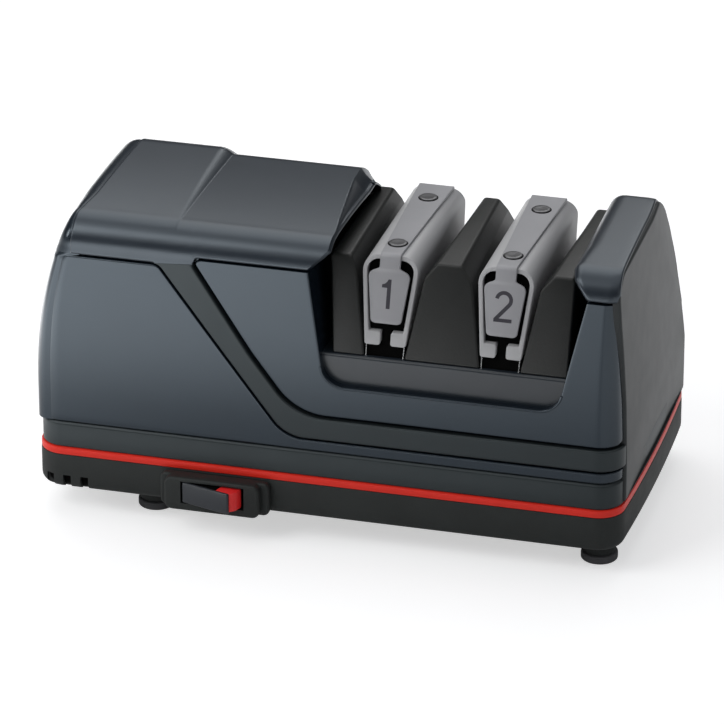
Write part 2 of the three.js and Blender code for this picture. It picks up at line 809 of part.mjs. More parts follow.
// A long round outline round both pins
function inletOutline(radius) {
  const half = inletPinPitch / 2;
  const shape = new THREE.Shape();
  shape.absarc(inletPlace + half, inletHeight, radius, -Math.PI / 2, Math.PI / 2, false);
  shape.absarc(inletPlace - half, inletHeight, radius, Math.PI / 2, 3 * Math.PI / 2, false);
  return shape;
}

function inletBack() {
  return halfDepth + clearance / 2 + inletFlange - inletRecessDepth;
}

function inletSocket() {
  const wallFace = halfDepth + clearance / 2;
  const outer = inletRecessRadius + inletWall;
  const back = inletBack();
  const body = prismY(inletOutline(outer - clearance), back - inletWall, wallFace + clearance);
  const flange = prismY(inletOutline(outer + inletFlangeReach - clearance), wallFace, wallFace + inletFlange);
  const recess = prismY(inletOutline(inletRecessRadius), back, overrun);
  return cut(body.add(flange), recess, ...[-1, 1].map((side) => inletPin(side, clearance)));
}

function inletPin(side, grow = 0) {
  const x = inletPlace + side * inletPinPitch / 2;
  const from = inletBack() - 2 * inletWall - grow;
  return prismY(circle(x, inletHeight, inletPinRadius + grow), from, inletBack() + inletPinLength, 3);
}

// Power switch

function rectangle(width, bottom, top, radius) {
  return outline([
    [switchPlace - width / 2, bottom, radius], [switchPlace + width / 2, bottom, radius],
    [switchPlace + width / 2, top, radius], [switchPlace - width / 2, top, radius],
  ]);
}

function switchBezel() {
  const wallFace = -halfDepth - clearance / 2;
  const flangeFace = -halfDepth - bezelFlangeProud;
  const front = prismY(rectangle(bezelWidth, bezelBottom, bezelTop, bezelCorner), bezelFace, wallFace);
  const flange = prismY(rectangle(bezelWidth + 2 * bezelFlange, bezelBottom, bezelTop, bezelCorner),
    flangeFace, wallFace);
  const hole = prismY(outline([
    [switchPlace - openingWidth / 2, switchHeight - openingHeight / 2],
    [switchPlace + openingWidth / 2, switchHeight - openingHeight / 2],
    [switchPlace + openingWidth / 2, switchHeight + openingHeight / 2],
    [switchPlace - openingWidth / 2, switchHeight + openingHeight / 2],
  ]), bezelFace - clearance, -halfDepth + clearance);
  const pinHole = post(switchPlace, rockerPivotY, rockerPinRadius + clearance,
    switchHeight - openingHeight / 2 - rockerPinLength - clearance,
    switchHeight + openingHeight / 2 + rockerPinLength, 12);
  return cut(front.add(flange), hole, pinHole);
}

function switchBody() {
  const front = -halfDepth + clearance / 2;
  const half = switchBodyHeight / 2;
  const shell = box([switchPlace - switchBodyWidth / 2, switchPlace + switchBodyWidth / 2],
    [front, front + switchBodyDepth], [switchHeight - half, switchHeight + half]);
  const pocket = box([switchPlace - openingWidth / 2, switchPlace + openingWidth / 2],
    [front - clearance, front + switchBodyDepth - 3 * switchWall],
    [switchHeight - half + switchWall / 2, switchHeight + half - switchWall / 2]);
  const tabs = [-1, 1].map((side) => {
    const x = switchPlace + side * switchBodyWidth / 4;
    return box([x - switchWall, x + switchWall],
      [front + switchBodyDepth - clearance, front + switchBodyDepth + 4 * switchWall],
      [switchHeight - switchWall / 3, switchHeight + switchWall / 3]);
  });
  return join(shell.subtract(pocket), ...tabs);
}

// A plan outline of the rocker in its pictured tilt, from points (along the face, out of it)
function rockerOutline(points) {
  const angle = rockerTilt * toRadians;
  return outline(points.map(([along, out]) => [
    switchPlace + along * Math.cos(angle) - out * Math.sin(angle),
    rockerPivotY - along * Math.sin(angle) - out * Math.cos(angle),
  ]));
}

function rockerCap() {
  const half = openingHeight / 2 - clearance;
  const low = rockerReach - rockerCapThickness;
  const widen = (rockerSwing - rockerFace) / 2 * rockerCapThickness / rockerReach;
  return prismZ(rockerOutline([[-rockerFace, rockerReach], [rockerFace, rockerReach],
    [rockerFace + widen, low], [-rockerFace - widen, low]]), switchHeight - half, switchHeight + half);
}

function rockerCore() {
  const half = openingHeight / 2 - 2 * clearance;
  const top = rockerReach - rockerCapThickness - runningGap;
  const side = rockerSwing * Math.cos(rockerTilt * toRadians);
  const high = rockerSwing * Math.sin(rockerTilt * toRadians);
  const core = prismZ(rockerOutline([
    [-rockerFace, top], [rockerFace, top], [side, high],
    [rockerSwing - clearance, 0], [rockerFace, -rockerTail / 2], [0, -rockerTail],
    [-rockerFace, -rockerTail / 2], [clearance - rockerSwing, 0], [-side, high],
  ]), switchHeight - half, switchHeight + half);
  return core.add(post(switchPlace, rockerPivotY, rockerPinRadius,
    switchHeight - openingHeight / 2 - rockerPinLength,
    switchHeight + openingHeight / 2 + rockerPinLength - clearance, 12));
}

// Guides

function frontFace(z, inset = 0) {
  return guideFront + faceLeanShare * (z - bedTop) + inset;
}

function archRearFace(z, inset = 0) {
  return archRear - faceLeanShare * (z - bedTop) - inset;
}

function guideBed() {
  const low = bedTop - bedDrop;
  const gap = housingWall + 2 * clearance;
  const left = bulkheads[0] + bulkheadThickness + clearance;
  const right = bulkheads[1] - clearance;
  const outer = formSolid(-gap, low, 6, 3)
    .intersect(box([left, right], [-overrun, overrun], [low, bedTop]));
  const hollow = formSolid(-gap - bedWall, low - bedWall, 6, 3)
    .intersect(box([left + bedWall, right - bedWall], [-overrun, overrun], [0, bedTop - bedThickness]));
  const wells = guides.map((x) => box([x - discRimPlace - clearance, x + discRimPlace + clearance],
    [spindleY - wellLength / 2, spindleY + wellLength / 2], [0, bedTop + clearance]));
  const shaftWay = box([left - clearance, right + clearance],
    [spindleY - hubRadius - clearance, spindleY + hubRadius + clearance],
    [0, spindleHeight + hubRadius + clearance]);
  return cut(outer, hollow, ...wells, shaftWay);
}

// A block between two guides, from the half widths of its foot, shoulder and top
function guideBlock(leftSide, rightSide) {
  const face = (end) => {
    const top = end === 0 ? blockTopGap : blockRearTopGap;
    const shoulder = blockShoulderGap;
    const lean = (z) => (end === 0 ? frontFace(z, clearance)
      : blockRear + (blockRearTop - blockRear) * (z - bedTop) / (blockTop - bedTop));
    const left = leftSide.guide === undefined
      ? [[leftSide.wall, blockTop], [leftSide.wall, blockShoulder], [leftSide.wall, bedTop]]
      : [[leftSide.guide + top, blockTop], [leftSide.guide + shoulder, blockShoulder],
        [leftSide.guide + blockFootGap, bedTop]];
    const right = rightSide.guide === undefined
      ? [[rightSide.wall, bedTop], [rightSide.wall, blockShoulder], [rightSide.wall, blockTop]]
      : [[rightSide.guide - blockFootGap, bedTop], [rightSide.guide - shoulder, blockShoulder],
        [rightSide.guide - top, blockTop]];
    return [...left, ...right].reverse().map(([x, z]) => [x, lean(z), z]);
  };
  return cut(loft([face(0), face(1)]), ...guides.map((x) => discSweep(x)));
}

// The room that the discs of one guide need, with their clearance
function discSweep(x) {
  const half = discRimPlace + clearance;
  return turnedX(rod(discRadius + 2 * clearance, x - half, x + half), 24, spindleY, spindleHeight);
}

// The arch section in the front view, an open hook at each foot
function archSection(x) {
  const hook = archHalfFoot - hookReach;
  const slope = (archHalfShoulder - archHalfFoot) / (archShoulder - archFoot);
  const inner = (z) => archHalfFoot + slope * (z - archFoot) - archWall;
  const half = [
    [hook, archFoot, 0.4 * archWall], [archHalfFoot, archFoot],
    [archHalfShoulder, archShoulder, 2 * archWall], [archHalfTop, archTop],
  ];
  const within = [
    [archHalfTop - archWall / 2, archTop - archWall],
    [inner(archShoulder), archShoulder - archWall / 2, archWall],
    [inner(archFoot + hookHeight), archFoot + hookHeight], [hook, archFoot + hookHeight, 0.4 * archWall],
  ];
  const right = [...half, ...within];
  const flip = (points) => points.map(([px, pz, r]) => [-px, pz, r || 0]).reverse();
  const loop = [...half, ...flip(half), ...flip(within), ...within];
  return outline(loop.map(([px, pz, r]) => [x + px, pz, r || 0]));
}

// A slab in the side view between the leaning front and rear faces of a guide
function guideSlab(inset, low, high) {
  return prismX(outline([[frontFace(low, inset), low], [archRearFace(low, inset), low],
    [archRearFace(high, inset), high], [frontFace(high, inset), high]]), -overrun, overrun);
}

function rivetHoles(x, radius, from, to) {
  return [rivetFront, rivetRear].map((y) => post(x, y, radius, from, to, 12));
}

function guideArch(x) {
  const arch = prismY(archSection(x), -overrun, overrun, 4)
    .intersect(guideSlab(0, archFoot - clearance, archTop + clearance));
  return cut(arch, ...rivetHoles(x, rivetRadius + clearance, archTop - 2 * archWall, archTop + clearance));
}

function guideCore(x) {
  const neck = archHalfFoot - hookReach - hookGap;
  const slope = (archHalfShoulder - archHalfFoot) / (archShoulder - archFoot);
  const inner = (z) => archHalfFoot + slope * (z - archFoot) - archWall - hookGap;
  const headLow = archFoot + hookHeight + hookGap;
  const headTop = archTop - archWall - hookGap;
  const half = [
    [coreFoot, bedTop], [coreFoot, archFoot - hookGap], [neck, archFoot - hookGap], [neck, headLow],
    [inner(headLow), headLow], [inner(archShoulder - archWall) - hookGap, archShoulder - archWall],
    [archHalfTop - archWall, headTop],
  ];
  const loop = [...half, ...half.map(([px, pz]) => [-px, pz]).reverse()];
  const section = outline(loop.map(([px, pz]) => [x + px, pz]));
  const core = prismY(section, -overrun, overrun).intersect(guideSlab(coreInset, bedTop, archTop));
  return cut(core, discSweep(x), ...rivetHoles(x, rivetRadius + clearance, headTop - rivetDepth, archTop));
}

function guidePlate(x) {
  const out = tongueGap + plateThickness;
  const top = archTop + plateThickness;
  const strip = prismX(outline([
    [plateRear, archTop], [plateRear, top], [frontFace(top, -out) + plateThickness / 2, top],
    [frontFace(top - plateThickness / 2, -out), top - plateThickness / 2],
    [frontFace(tongueBottom, -out), tongueBottom], [frontFace(tongueBottom, -tongueGap), tongueBottom],
    [frontFace(archTop, -tongueGap), archTop],
  ]), -overrun, overrun);
  const shield = prismY(outline([
    [x - plateFrontHalf, top + clearance], [x - plateFrontHalf, tongueNeck],
    [x - tongueHalfShoulder, tongueShoulder, tongueCorner], [x - tongueHalfBottom, tongueBottom - clearance],
    [x + tongueHalfBottom, tongueBottom - clearance], [x + tongueHalfShoulder, tongueShoulder, tongueCorner],
    [x + plateFrontHalf, tongueNeck], [x + plateFrontHalf, top + clearance],
  ]), -overrun, frontFace(top, 0) + plateThickness, 4);
  const deck = prismZ(outline([
    [x - plateFrontHalf, frontFace(top, -2 * out)], [x + plateFrontHalf, frontFace(top, -2 * out)],
    [x + plateRearHalf, plateRear + clearance], [x - plateRearHalf, plateRear + clearance],
  ]), archTop - clearance, top + clearance);
  return cut(strip.intersect(shield.add(deck)),
    ...rivetHoles(x, rivetRadius + clearance, archTop - clearance, top + clearance));
}

function guideRivet(x, y) {
  const top = archTop + plateThickness;
  const dome = [];
  for (let i = 0; i <= 3; i++) {
    const angle = i / 3 * Math.PI / 2;
    dome.push([rivetHeadRadius * Math.cos(angle), top + rivetHeadHeight * Math.sin(angle)]);
  }
  dome[3][0] = 0;
  const foot = archTop - archWall - hookGap - rivetDepth + clearance;
  const rivet = turned([[0, foot], [rivetRadius, foot], [rivetRadius, top], ...dome], 14);
  return rivet.rotate([90, 0, 0]).translate([x, y, 0]);
}

// Spindle group

function spindleShaft() {
  const shaft = turnedX(rod(spindleRadius, spindleLeft, spindleRight), 16, spindleY, spindleHeight);
  return cut(shaft, ...guides.flatMap((x) =>
    [-1, 1].map((side) => drivePin(x, side, pinRadius + clearance))));
}

function pinPlace() {
  return hubOuter - hubNotch + clearance + pinRadius;
}

function drivePin(guide, side, radius = pinRadius) {
  const half = radius > pinRadius ? overrun / 10 : pinLength / 2;
  const pin = turned(rod(radius, -half, half), 12);
  return pin.rotate([90, 0, 0]).translate([guide + side * pinPlace(), spindleY, spindleHeight]);
}

// A cupped disc: its sloping outer face sharpens, its hub slides on the spindle
function abrasiveDisc(guide, side) {
  const bore = spindleRadius + runningGap;
  const root = discRimPlace - discCone;
  const profile = [
    [bore, hubInner], [hubRadius, hubInner], [hubRadius, root - discThickness],
    [discRadius - discThickness, discRimPlace - discThickness - discCone / 4],
    [discRadius, discRimPlace - discThickness], [discRadius, discRimPlace],
    [hubRadius, root], [hubRadius, hubOuter], [bore, hubOuter], [bore, hubInner],
  ];
  let disc = turned(profile, 20).rotate([90, 0, 0]);
  const notch = box([-hubNotchWidth / 2, hubNotchWidth / 2], [-hubRadius - clearance, hubRadius + clearance],
    [hubOuter - hubNotch, hubOuter + clearance]);
  disc = disc.subtract(notch.rotate([0, 0, 90]));
  return disc.rotate([0, side * 90, 0]).translate([guide, spindleY, spindleHeight]);
}

class Helix extends THREE.Curve {
  constructor(radius, turns, from, to) {
    super();
    Object.assign(this, { radius, turns, from, to });
  }

  getPoint(t, target = new THREE.Vector3()) {
    const angle = 2 * Math.PI * this.turns * t;
    return target.set(this.from + (this.to - this.from) * t,
      this.radius * Math.cos(angle), this.radius * Math.sin(angle));
  }
}

function discSpring(guide) {
  const reach = discRimPlace - discCone - discThickness - discTravel - runningGap - springWire / 2;
  const path = new Helix(hubRadius + clearance + springWire / 2, springTurns, -reach, reach);
  const wire = new THREE.Shape();
  wire.absarc(0, 0, springWire / 2, 0, 2 * Math.PI, false);
  const geometry = new THREE.ExtrudeGeometry(wire,
    { extrudePath: path, steps: 10 * springTurns, curveSegments: 2 });
  geometry.translate(guide, spindleY, spindleHeight);
  return solid(geometry);
}

function flangedBush(from, to, flangeAt) {
  const bore = spindleRadius + runningGap;
  const side = Math.sign(to - flangeAt);
  return join(
    turnedX(tube(bore, bearingRadius, from, to), 16, spindleY, spindleHeight),
    turnedX(tube(bore, bearingFlangeRadius, Math.min(flangeAt, flangeAt + side * bearingFlange),
      Math.max(flangeAt, flangeAt + side * bearingFlange)), 16, spindleY, spindleHeight));
}

// Motor

function stator() {
  const from = statorPlace - statorStack / 2;
  const to = statorPlace + statorStack / 2;
  const shape = outline([
    [spindleY - statorHalfWidth, statorBottom, boltHeadRadius],
    [spindleY + statorHalfWidth, statorBottom, boltHeadRadius],
    [spindleY + statorHalfWidth, statorTop, boltHeadRadius],
    [spindleY - statorHalfWidth, statorTop, boltHeadRadius],
  ]);
  const through = (radius) => rod(radius, from - clearance, to + clearance);
  const bore = turnedX(through(rotorRadius + airGap), 24, spindleY, spindleHeight);
  const window = box([from - clearance, to + clearance],
    [spindleY - statorWindowHalf, spindleY + statorWindowHalf], [statorBottom + statorLeg, statorWindowTop]);
  const bolts = [-1, 1].map((side) => turnedX(through(boltRadius + clearance), 12,
    spindleY + side * boltSpread(), boltHeight));
  return cut(prismX(shape, from, to), bore, window, ...bolts);
}

function boltSpread() {
  return bracketHalf - 2 * boltHeadRadius / 3;
}

function coil() {
  const half = statorWindowHalf - clearance;
  const across = coilLength / 2;
  const low = statorBottom - coilWall;
  const high = statorBottom + statorLeg + coilWall - clearance;
  const body = prismY(outline([
    [statorPlace - across, low, coilWall / 2], [statorPlace + across, low, coilWall / 2],
    [statorPlace + across, high, coilWall / 2], [statorPlace - across, high, coilWall / 2],
  ]), spindleY - half, spindleY + half, 4);
  const leg = box([statorPlace - statorStack / 2 - clearance, statorPlace + statorStack / 2 + clearance],
    [-overrun, overrun], [statorBottom - clearance, statorBottom + statorLeg + clearance]);
  return body.subtract(leg);
}

// A bent strap on each side of the stator, with the shaft bush at its middle
function motorBracket(side) {
  const stack = statorPlace + side * statorStack / 2;
  const face = (d) => stack + side * d;
  const x = (d) => [Math.min(stack + side * clearance, face(d)), Math.max(stack + side * clearance, face(d))];
  const t = bracketThickness;
  const reach = bracketReach;
  const low = spindleHeight - bracketHeight / 2;
  const high = spindleHeight + bracketHeight;
  const wide = bracketHalf + t;
  const narrow = bracketHalf / 2 + t;
  const half = [
    [face(clearance), wide], [face(clearance + t), wide],
    [face(clearance + t), narrow + t], [face(reach + t), narrow + t],
  ];
  const within = [[face(reach), narrow], [face(clearance), narrow]];
  const mirrored = (points) => points.map(([px, py]) => [px, spindleY + py]).reverse();
  const shape = outline([
    ...half.map(([px, py]) => [px, spindleY - py]), ...mirrored(half),
    ...mirrored(within), ...within.map(([px, py]) => [px, spindleY - py]),
  ]);
  const strap = prismZ(shape, low, high);
  const bush = turnedX(rod(bearingRadius + clearance, x(2 * reach)[0], x(2 * reach)[1]), 16,
    spindleY, spindleHeight);
  const bolts = [-1, 1].map((end) => turnedX(rod(boltRadius + clearance, x(2 * reach)[0] - reach,
    x(2 * reach)[1] + reach), 12, spindleY + end * boltSpread(), boltHeight));
  return cut(strap, bush, ...bolts);
}

function motorBearing(side) {
  const inner = statorPlace + side * (statorStack / 2 + bracketReach);
  const outer = inner + side * bracketThickness;
  const flangeAt = outer + side * clearance;
  const far = flangeAt + side * bearingFlange;
  const near = inner - side * (bearingLength - bracketThickness - bearingFlange);
  const bore = spindleRadius + runningGap;
  const order = (a, b) => [Math.min(a, b), Math.max(a, b)];
  return join(
    turnedX(tube(bore, bearingRadius, ...order(near, far)), 16, spindleY, spindleHeight),
    turnedX(tube(bore, bearingFlangeRadius, ...order(flangeAt, far)), 16, spindleY, spindleHeight));
}

function motorBolt(side) {
  const left = statorPlace - statorStack / 2 - 2 * bracketThickness;
  const right = statorPlace + statorStack / 2 + 3 * bracketThickness;
  const y = spindleY + side * boltSpread();
  const head = left + bracketThickness - 2 * clearance;
  return join(turnedX(rod(boltRadius, head - clearance, right), 12, y, boltHeight),
    turnedX(rod(boltHeadRadius, head - boltHeadHeight, head), 12, y, boltHeight));
}

function rotor() {
  return turnedX(tube(spindleRadius + clearance, rotorRadius, statorPlace - rotorLength / 2,
    statorPlace + rotorLength / 2), 24, spindleY, spindleHeight);
}

function fan() {
  const from = fanPlace - fanWidth / 2;
  const to = fanPlace + fanWidth / 2;
  const hub = turnedX(tube(spindleRadius + clearance, fanHubRadius, from, to), 20, spindleY, spindleHeight);
  const blades = [];
  for (let i = 0; i < fanBlades; i++) {
    const blade = box([from, to], [-fanBladeThickness / 2, fanBladeThickness / 2],
      [fanHubRadius - fanBladeThickness, fanRadius]);
    blades.push(blade.rotate([360 * i / fanBlades, 0, 0]).translate([0, spindleY, spindleHeight]));
  }
  const back = turnedX(tube(spindleRadius + clearance, fanRadius, to - fanBladeThickness, to), 16,
    spindleY, spindleHeight);
  return join(hub, back, ...blades);
}

function spindleBush() {
  const wall = bulkheads[1];
  const bore = spindleRadius + runningGap;
  const flange = wall + bulkheadThickness + clearance;
  const far = flange + bearingFlange;
  return join(
    turnedX(tube(bore, bearingRadius, wall - clearance, far), 16, spindleY, spindleHeight),
    turnedX(tube(bore, bearingFlangeRadius, flange, far), 16, spindleY, spindleHeight));
}

// Colours and the scene graph

const looks = {
  gloss: { color: 0x1c2227, roughness: 0.22, metalness: 0 },
  satin: { color: 0x252b2e, roughness: 0.45, metalness: 0 },
  matte: { color: 0x20221f, roughness: 0.7, metalness: 0 },
  stripe: { color: 0xe63a2e, roughness: 0.35, metalness: 0 },
  rubber: { color: 0x17181a, roughness: 0.85, metalness: 0 },
  rockerRed: { color: 0xe8274a, roughness: 0.35, metalness: 0 },
  arch: { color: 0xa3a3a6, roughness: 0.4, metalness: 0.1 },
  plate: { color: 0xa19fa6, roughness: 0.45, metalness: 0.2 },
  steel: { color: 0xb8babd, roughness: 0.3, metalness: 1 },
  abrasive: { color: 0x6f6f72, roughness: 0.8, metalness: 0.4 },
  lamination: { color: 0x5b5d60, roughness: 0.5, metalness: 0.8 },
  copper: { color: 0xa8582c, roughness: 0.4, metalness: 0.8 },
  bronze: { color: 0x9a7a45, roughness: 0.4, metalness: 0.9 },
};

const sharpener = new THREE.Group();

function place(name, look, body) {
  const mesh = new THREE.Mesh(surface(body), new THREE.MeshStandardMaterial(looks[look]));
  mesh.name = name;
  sharpener.add(mesh);
}

const sides = [['left', -1], ['right', 1]];
const corners = ['front_left', 'front_right', 'rear_right', 'rear_left'];

place('housing_shell', 'gloss', housingShell());
place('right_end_cap', 'satin', rightEndCap());
place('stripe_trim', 'stripe', stripeTrim());
place('base_tray', 'matte', baseTray());
corners.forEach((corner, i) => {
  place(`foot_pad_${corner}`, 'rubber', footPad(footPlaces()[i]));
  place(`base_screw_${corner}`, 'steel', baseScrew(screwPlaces()[i]));
});
place('inlet_socket', 'matte', inletSocket());
for (const [name, side] of sides) place(`inlet_pin_${name}`, 'steel', inletPin(side));
place('switch_bezel', 'matte', switchBezel());
place('switch_body', 'matte', switchBody());
place('rocker_cap', 'satin', rockerCap());
place('rocker_core', 'rockerRed', rockerCore());
place('guide_bed', 'satin', guideBed());
place('guide_block_left', 'matte', guideBlock({ wall: blockLeft }, { guide: guideFirst }));
place('guide_block_middle', 'matte', guideBlock({ guide: guideFirst }, { guide: guideSecond }));
place('guide_block_right', 'matte', guideBlock({ guide: guideSecond }, { wall: blockRight }));
guides.forEach((x, i) => {
  const stage = i + 1;
  place(`guide_core_${stage}`, 'matte', guideCore(x));
  place(`guide_arch_${stage}`, 'arch', guideArch(x));
  place(`guide_plate_${stage}`, 'plate', guidePlate(x));
  place(`guide_rivet_${stage}_front`, 'steel', guideRivet(x, rivetFront));
  place(`guide_rivet_${stage}_rear`, 'steel', guideRivet(x, rivetRear));
  place(`disc_spring_${stage}`, 'steel', discSpring(x));
  for (const [name, side] of sides) {
    place(`abrasive_disc_${stage}_${name}`, 'abrasive', abrasiveDisc(x, side));
    place(`drive_pin_${stage}_${name}`, 'steel', drivePin(x, side));
  }
});
place('spindle_shaft', 'steel', spindleShaft());
place('spindle_bush', 'bronze', spindleBush());
place('motor_stator', 'lamination', stator());
place('motor_coil', 'copper', coil());
place('motor_rotor', 'steel', rotor());
place('motor_fan', 'matte', fan());
for (const [name, side] of sides) {
  place(`motor_bracket_${name}`, 'steel', motorBracket(side));
  place(`motor_bearing_${name}`, 'bronze', motorBearing(side));
}
place('motor_bolt_front', 'steel', motorBolt(-1));
place('motor_bolt_rear', 'steel', motorBolt(1));

// The origin goes to the bottom centre of the whole part
const bounds = new THREE.Box3().setFromObject(sharpener);
const middle = bounds.getCenter(new THREE.Vector3());
const assembly = new THREE.Group();
sharpener.position.set(-middle.x, -middle.y, -bounds.min.z);
assembly.add(sharpener);
assembly.updateMatrixWorld(true);

export default assembly;
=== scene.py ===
"""Looks of the two-stage electric knife sharpener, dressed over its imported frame.

All sizes here are millimetres in the sharpener's own axes: X along the spindle, the user at -Y,
Z up from the worktop, with X and Y counted from the middle of the red stripe. `Placer` turns
them into the frame's metres.
"""
import logging
import math
from dataclasses import dataclass
from enum import Enum
from typing import Iterable, Optional, Sequence

import bpy
import numpy as np
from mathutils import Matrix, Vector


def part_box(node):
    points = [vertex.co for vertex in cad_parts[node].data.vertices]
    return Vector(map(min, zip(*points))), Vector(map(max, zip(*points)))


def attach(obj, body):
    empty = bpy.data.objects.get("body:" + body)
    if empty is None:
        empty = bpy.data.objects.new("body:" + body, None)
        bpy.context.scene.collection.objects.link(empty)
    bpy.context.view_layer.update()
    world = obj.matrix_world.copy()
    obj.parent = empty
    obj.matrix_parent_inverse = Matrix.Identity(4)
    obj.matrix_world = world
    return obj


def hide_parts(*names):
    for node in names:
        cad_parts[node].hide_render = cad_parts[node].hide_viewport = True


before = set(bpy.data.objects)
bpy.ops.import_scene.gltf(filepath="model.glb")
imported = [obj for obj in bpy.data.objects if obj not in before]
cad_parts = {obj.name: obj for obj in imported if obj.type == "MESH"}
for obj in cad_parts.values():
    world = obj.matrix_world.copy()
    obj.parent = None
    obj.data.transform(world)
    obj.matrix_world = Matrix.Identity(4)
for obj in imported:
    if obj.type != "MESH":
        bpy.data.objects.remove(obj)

LOG = logging.getLogger("sharpener")
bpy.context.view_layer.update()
MM = 0.001
Array = np.ndarray


class Placer:
    """Moves points from the sharpener's own millimetres to the frame's metres."""

    def __init__(self) -> None:
        """Finds the middle of the red stripe in the frame."""
        low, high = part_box("stripe_trim")
        self.middle = np.array([(low.x + high.x) / 2, (low.y + high.y) / 2, 0.0])

    def metres(self, points: Array) -> Array:
        """Points in the frame.

        Args:
            points: An array of millimetre points, its last axis X, Y and Z.

        Returns:
            The same points in metres, counted from the frame's origin.
        """
        return np.asarray(points, float) * MM + self.middle


PLACER = Placer()


# Meshes from arrays


def grid_quads(rows: int, cols: int, wrap_rows: bool = False, wrap_cols: bool = False) -> Array:
    """Quads that join a grid's neighbouring points.

    Args:
        rows: How many rows of points there are.
        cols: How many points a row has.
        wrap_rows: Whether the last row joins the first.
        wrap_cols: Whether each row's last point joins its first.

    Returns:
        An array of quads, each of four point numbers, row by row.
    """
    row = np.arange(rows if wrap_rows else rows - 1)[:, None]
    col = np.arange(cols if wrap_cols else cols - 1)[None, :]
    after, beside = (row + 1) % rows, (col + 1) % cols
    corners = [row * cols + col, row * cols + beside, after * cols + beside, after * cols + col]
    return np.stack([np.broadcast_to(c, (row.size, col.size)) for c in corners], -1).reshape(-1, 4)


def outward(mesh: bpy.types.Mesh) -> None:
    """Turns a closed mesh's faces out, after its doubles are merged."""
    import bmesh

    work = bmesh.new()
    work.from_mesh(mesh)
    bmesh.ops.remove_doubles(work, verts=work.verts, dist=1e-7)
    bmesh.ops.dissolve_degenerate(work, edges=work.edges, dist=1e-8)
    bmesh.ops.recalc_face_normals(work, faces=work.faces)
    if work.calc_volume(signed=True) < 0:
        bmesh.ops.reverse_faces(work, faces=work.faces)
    work.to_mesh(mesh)
    work.free()


def mesh_piece(name: str, points: Array, faces: Iterable[Sequence[int]], smooth_deg: float = 35.0,
               closed: bool = True) -> bpy.types.Object:
    """A new object whose mesh holds the given points and faces.

    Args:
        name: The piece's name.
        points: Millimetre points, in any number of leading axes.
        faces: Point numbers of each face.
        smooth_deg: Edges that bend more than this stay sharp.
        closed: Whether the faces close on themselves, so that they can be turned out.

    Returns:
        The object, at the origin and unturned, linked to the scene.
    """
    mesh = bpy.data.meshes.new(name)
    flat = PLACER.metres(np.asarray(points, float).reshape(-1, 3))
    mesh.from_pydata(flat.tolist(), [], [tuple(int(i) for i in f) for f in faces])
    if closed:
        outward(mesh)
    soften(mesh, smooth_deg)
    piece = bpy.data.objects.new(name, mesh)
    bpy.context.scene.collection.objects.link(piece)
    return piece


def soften(mesh: bpy.types.Mesh, smooth_deg: float) -> None:
    """Shades a mesh smooth but for the edges that bend more than the given angle."""
    mesh.polygons.foreach_set("use_smooth", np.ones(len(mesh.polygons), bool))
    mesh.set_sharp_from_angle(angle=math.radians(smooth_deg))
    mesh.update()


def tube_piece(name: str, rings: Array, smooth_deg: float = 35.0) -> bpy.types.Object:
    """A closed piece over rings of points: quads between the rings and a face on each end.

    Args:
        name: The piece's name.
        rings: Points of shape (rings, points round, 3).
        smooth_deg: Edges that bend more than this stay sharp.

    Returns:
        The new object.
    """
    count, around = rings.shape[:2]
    faces = [tuple(f) for f in grid_quads(count, around, wrap_cols=True)]
    faces.append(tuple(range(around))[::-1])
    faces.append(tuple((count - 1) * around + i for i in range(around)))
    return mesh_piece(name, rings, faces, smooth_deg)


class Axis(Enum):
    """The axis that a prism runs along, as the order that turns (along, a, b) into X, Y and Z."""

    X = (0, 1, 2)
    Y = (1, 0, 2)
    Z = (1, 2, 0)


def prism(name: str, loop: Array, low: float, high: float, axis: Axis) -> bpy.types.Object:
    """A closed prism over an outline, which lies in the two axes that it doesn't run along."""
    rings = [np.stack([np.full(len(loop), float(at)), loop[:, 0], loop[:, 1]], -1) for at in (low, high)]
    return tube_piece(name, np.stack(rings)[..., list(axis.value)])


def slab(name: str, x: tuple[float, float], y: tuple[float, float],
         z: tuple[float, float]) -> bpy.types.Object:
    """A plain block, kept only as a cutting tool."""
    loop = np.array([(x[0], y[0]), (x[1], y[0]), (x[1], y[1]), (x[0], y[1])], float)
    return prism(name, loop, z[0], z[1], Axis.Z)


def turned(name: str, profile: Sequence[tuple[float, float]], x: float, y: float,
           sides: int = 48) -> bpy.types.Object:
    """A piece turned about an upright axis at (x, y), from (radius, height) points."""
    angle = np.linspace(0, 2 * math.pi, sides, endpoint=False)
    radius, height = np.array(profile, float).T
    rings = np.stack([x + radius[:, None] * np.cos(angle), y + radius[:, None] * np.sin(angle),
                      np.broadcast_to(height[:, None], (radius.size, sides))], -1)
    return tube_piece(name, rings)


def joined(name: str, pieces: Sequence[bpy.types.Object]) -> bpy.types.Object:
    """One object that holds all the given pieces' meshes, under a new name."""
    with bpy.context.temp_override(active_object=pieces[0], selected_editable_objects=list(pieces)):
        bpy.ops.object.join()
    pieces[0].name = name
    pieces[0].data.name = name
    return pieces[0]


def modified(piece: bpy.types.Object, kind: str, **settings: object) -> bpy.types.Object:
    """Applies one modifier to a piece at once.

    Args:
        piece: The piece.
        kind: Blender's name of the modifier's type.
        **settings: The modifier's settings.

    Returns:
        The same piece, with the modifier's result as its mesh.
    """
    modifier = piece.modifiers.new(kind.lower(), kind)
    for key, value in settings.items():
        setattr(modifier, key, value)
    graph = bpy.context.evaluated_depsgraph_get()
    result = bpy.data.meshes.new_from_object(piece.evaluated_get(graph))
    piece.modifiers.clear()
    old = piece.data
    piece.data = result
    bpy.data.meshes.remove(old)
    return piece


def rounded(piece: bpy.types.Object, width: float, segments: int = 3,
            angle: float = 30.0) -> bpy.types.Object:
    """Rounds a piece's hard edges by a width in millimetres."""
    modified(piece, "BEVEL", width=width * MM, segments=segments, limit_method="ANGLE",
             angle_limit=math.radians(angle), miter_outer="MITER_ARC", harden_normals=False)
    soften(piece.data, 40.0)
    return piece


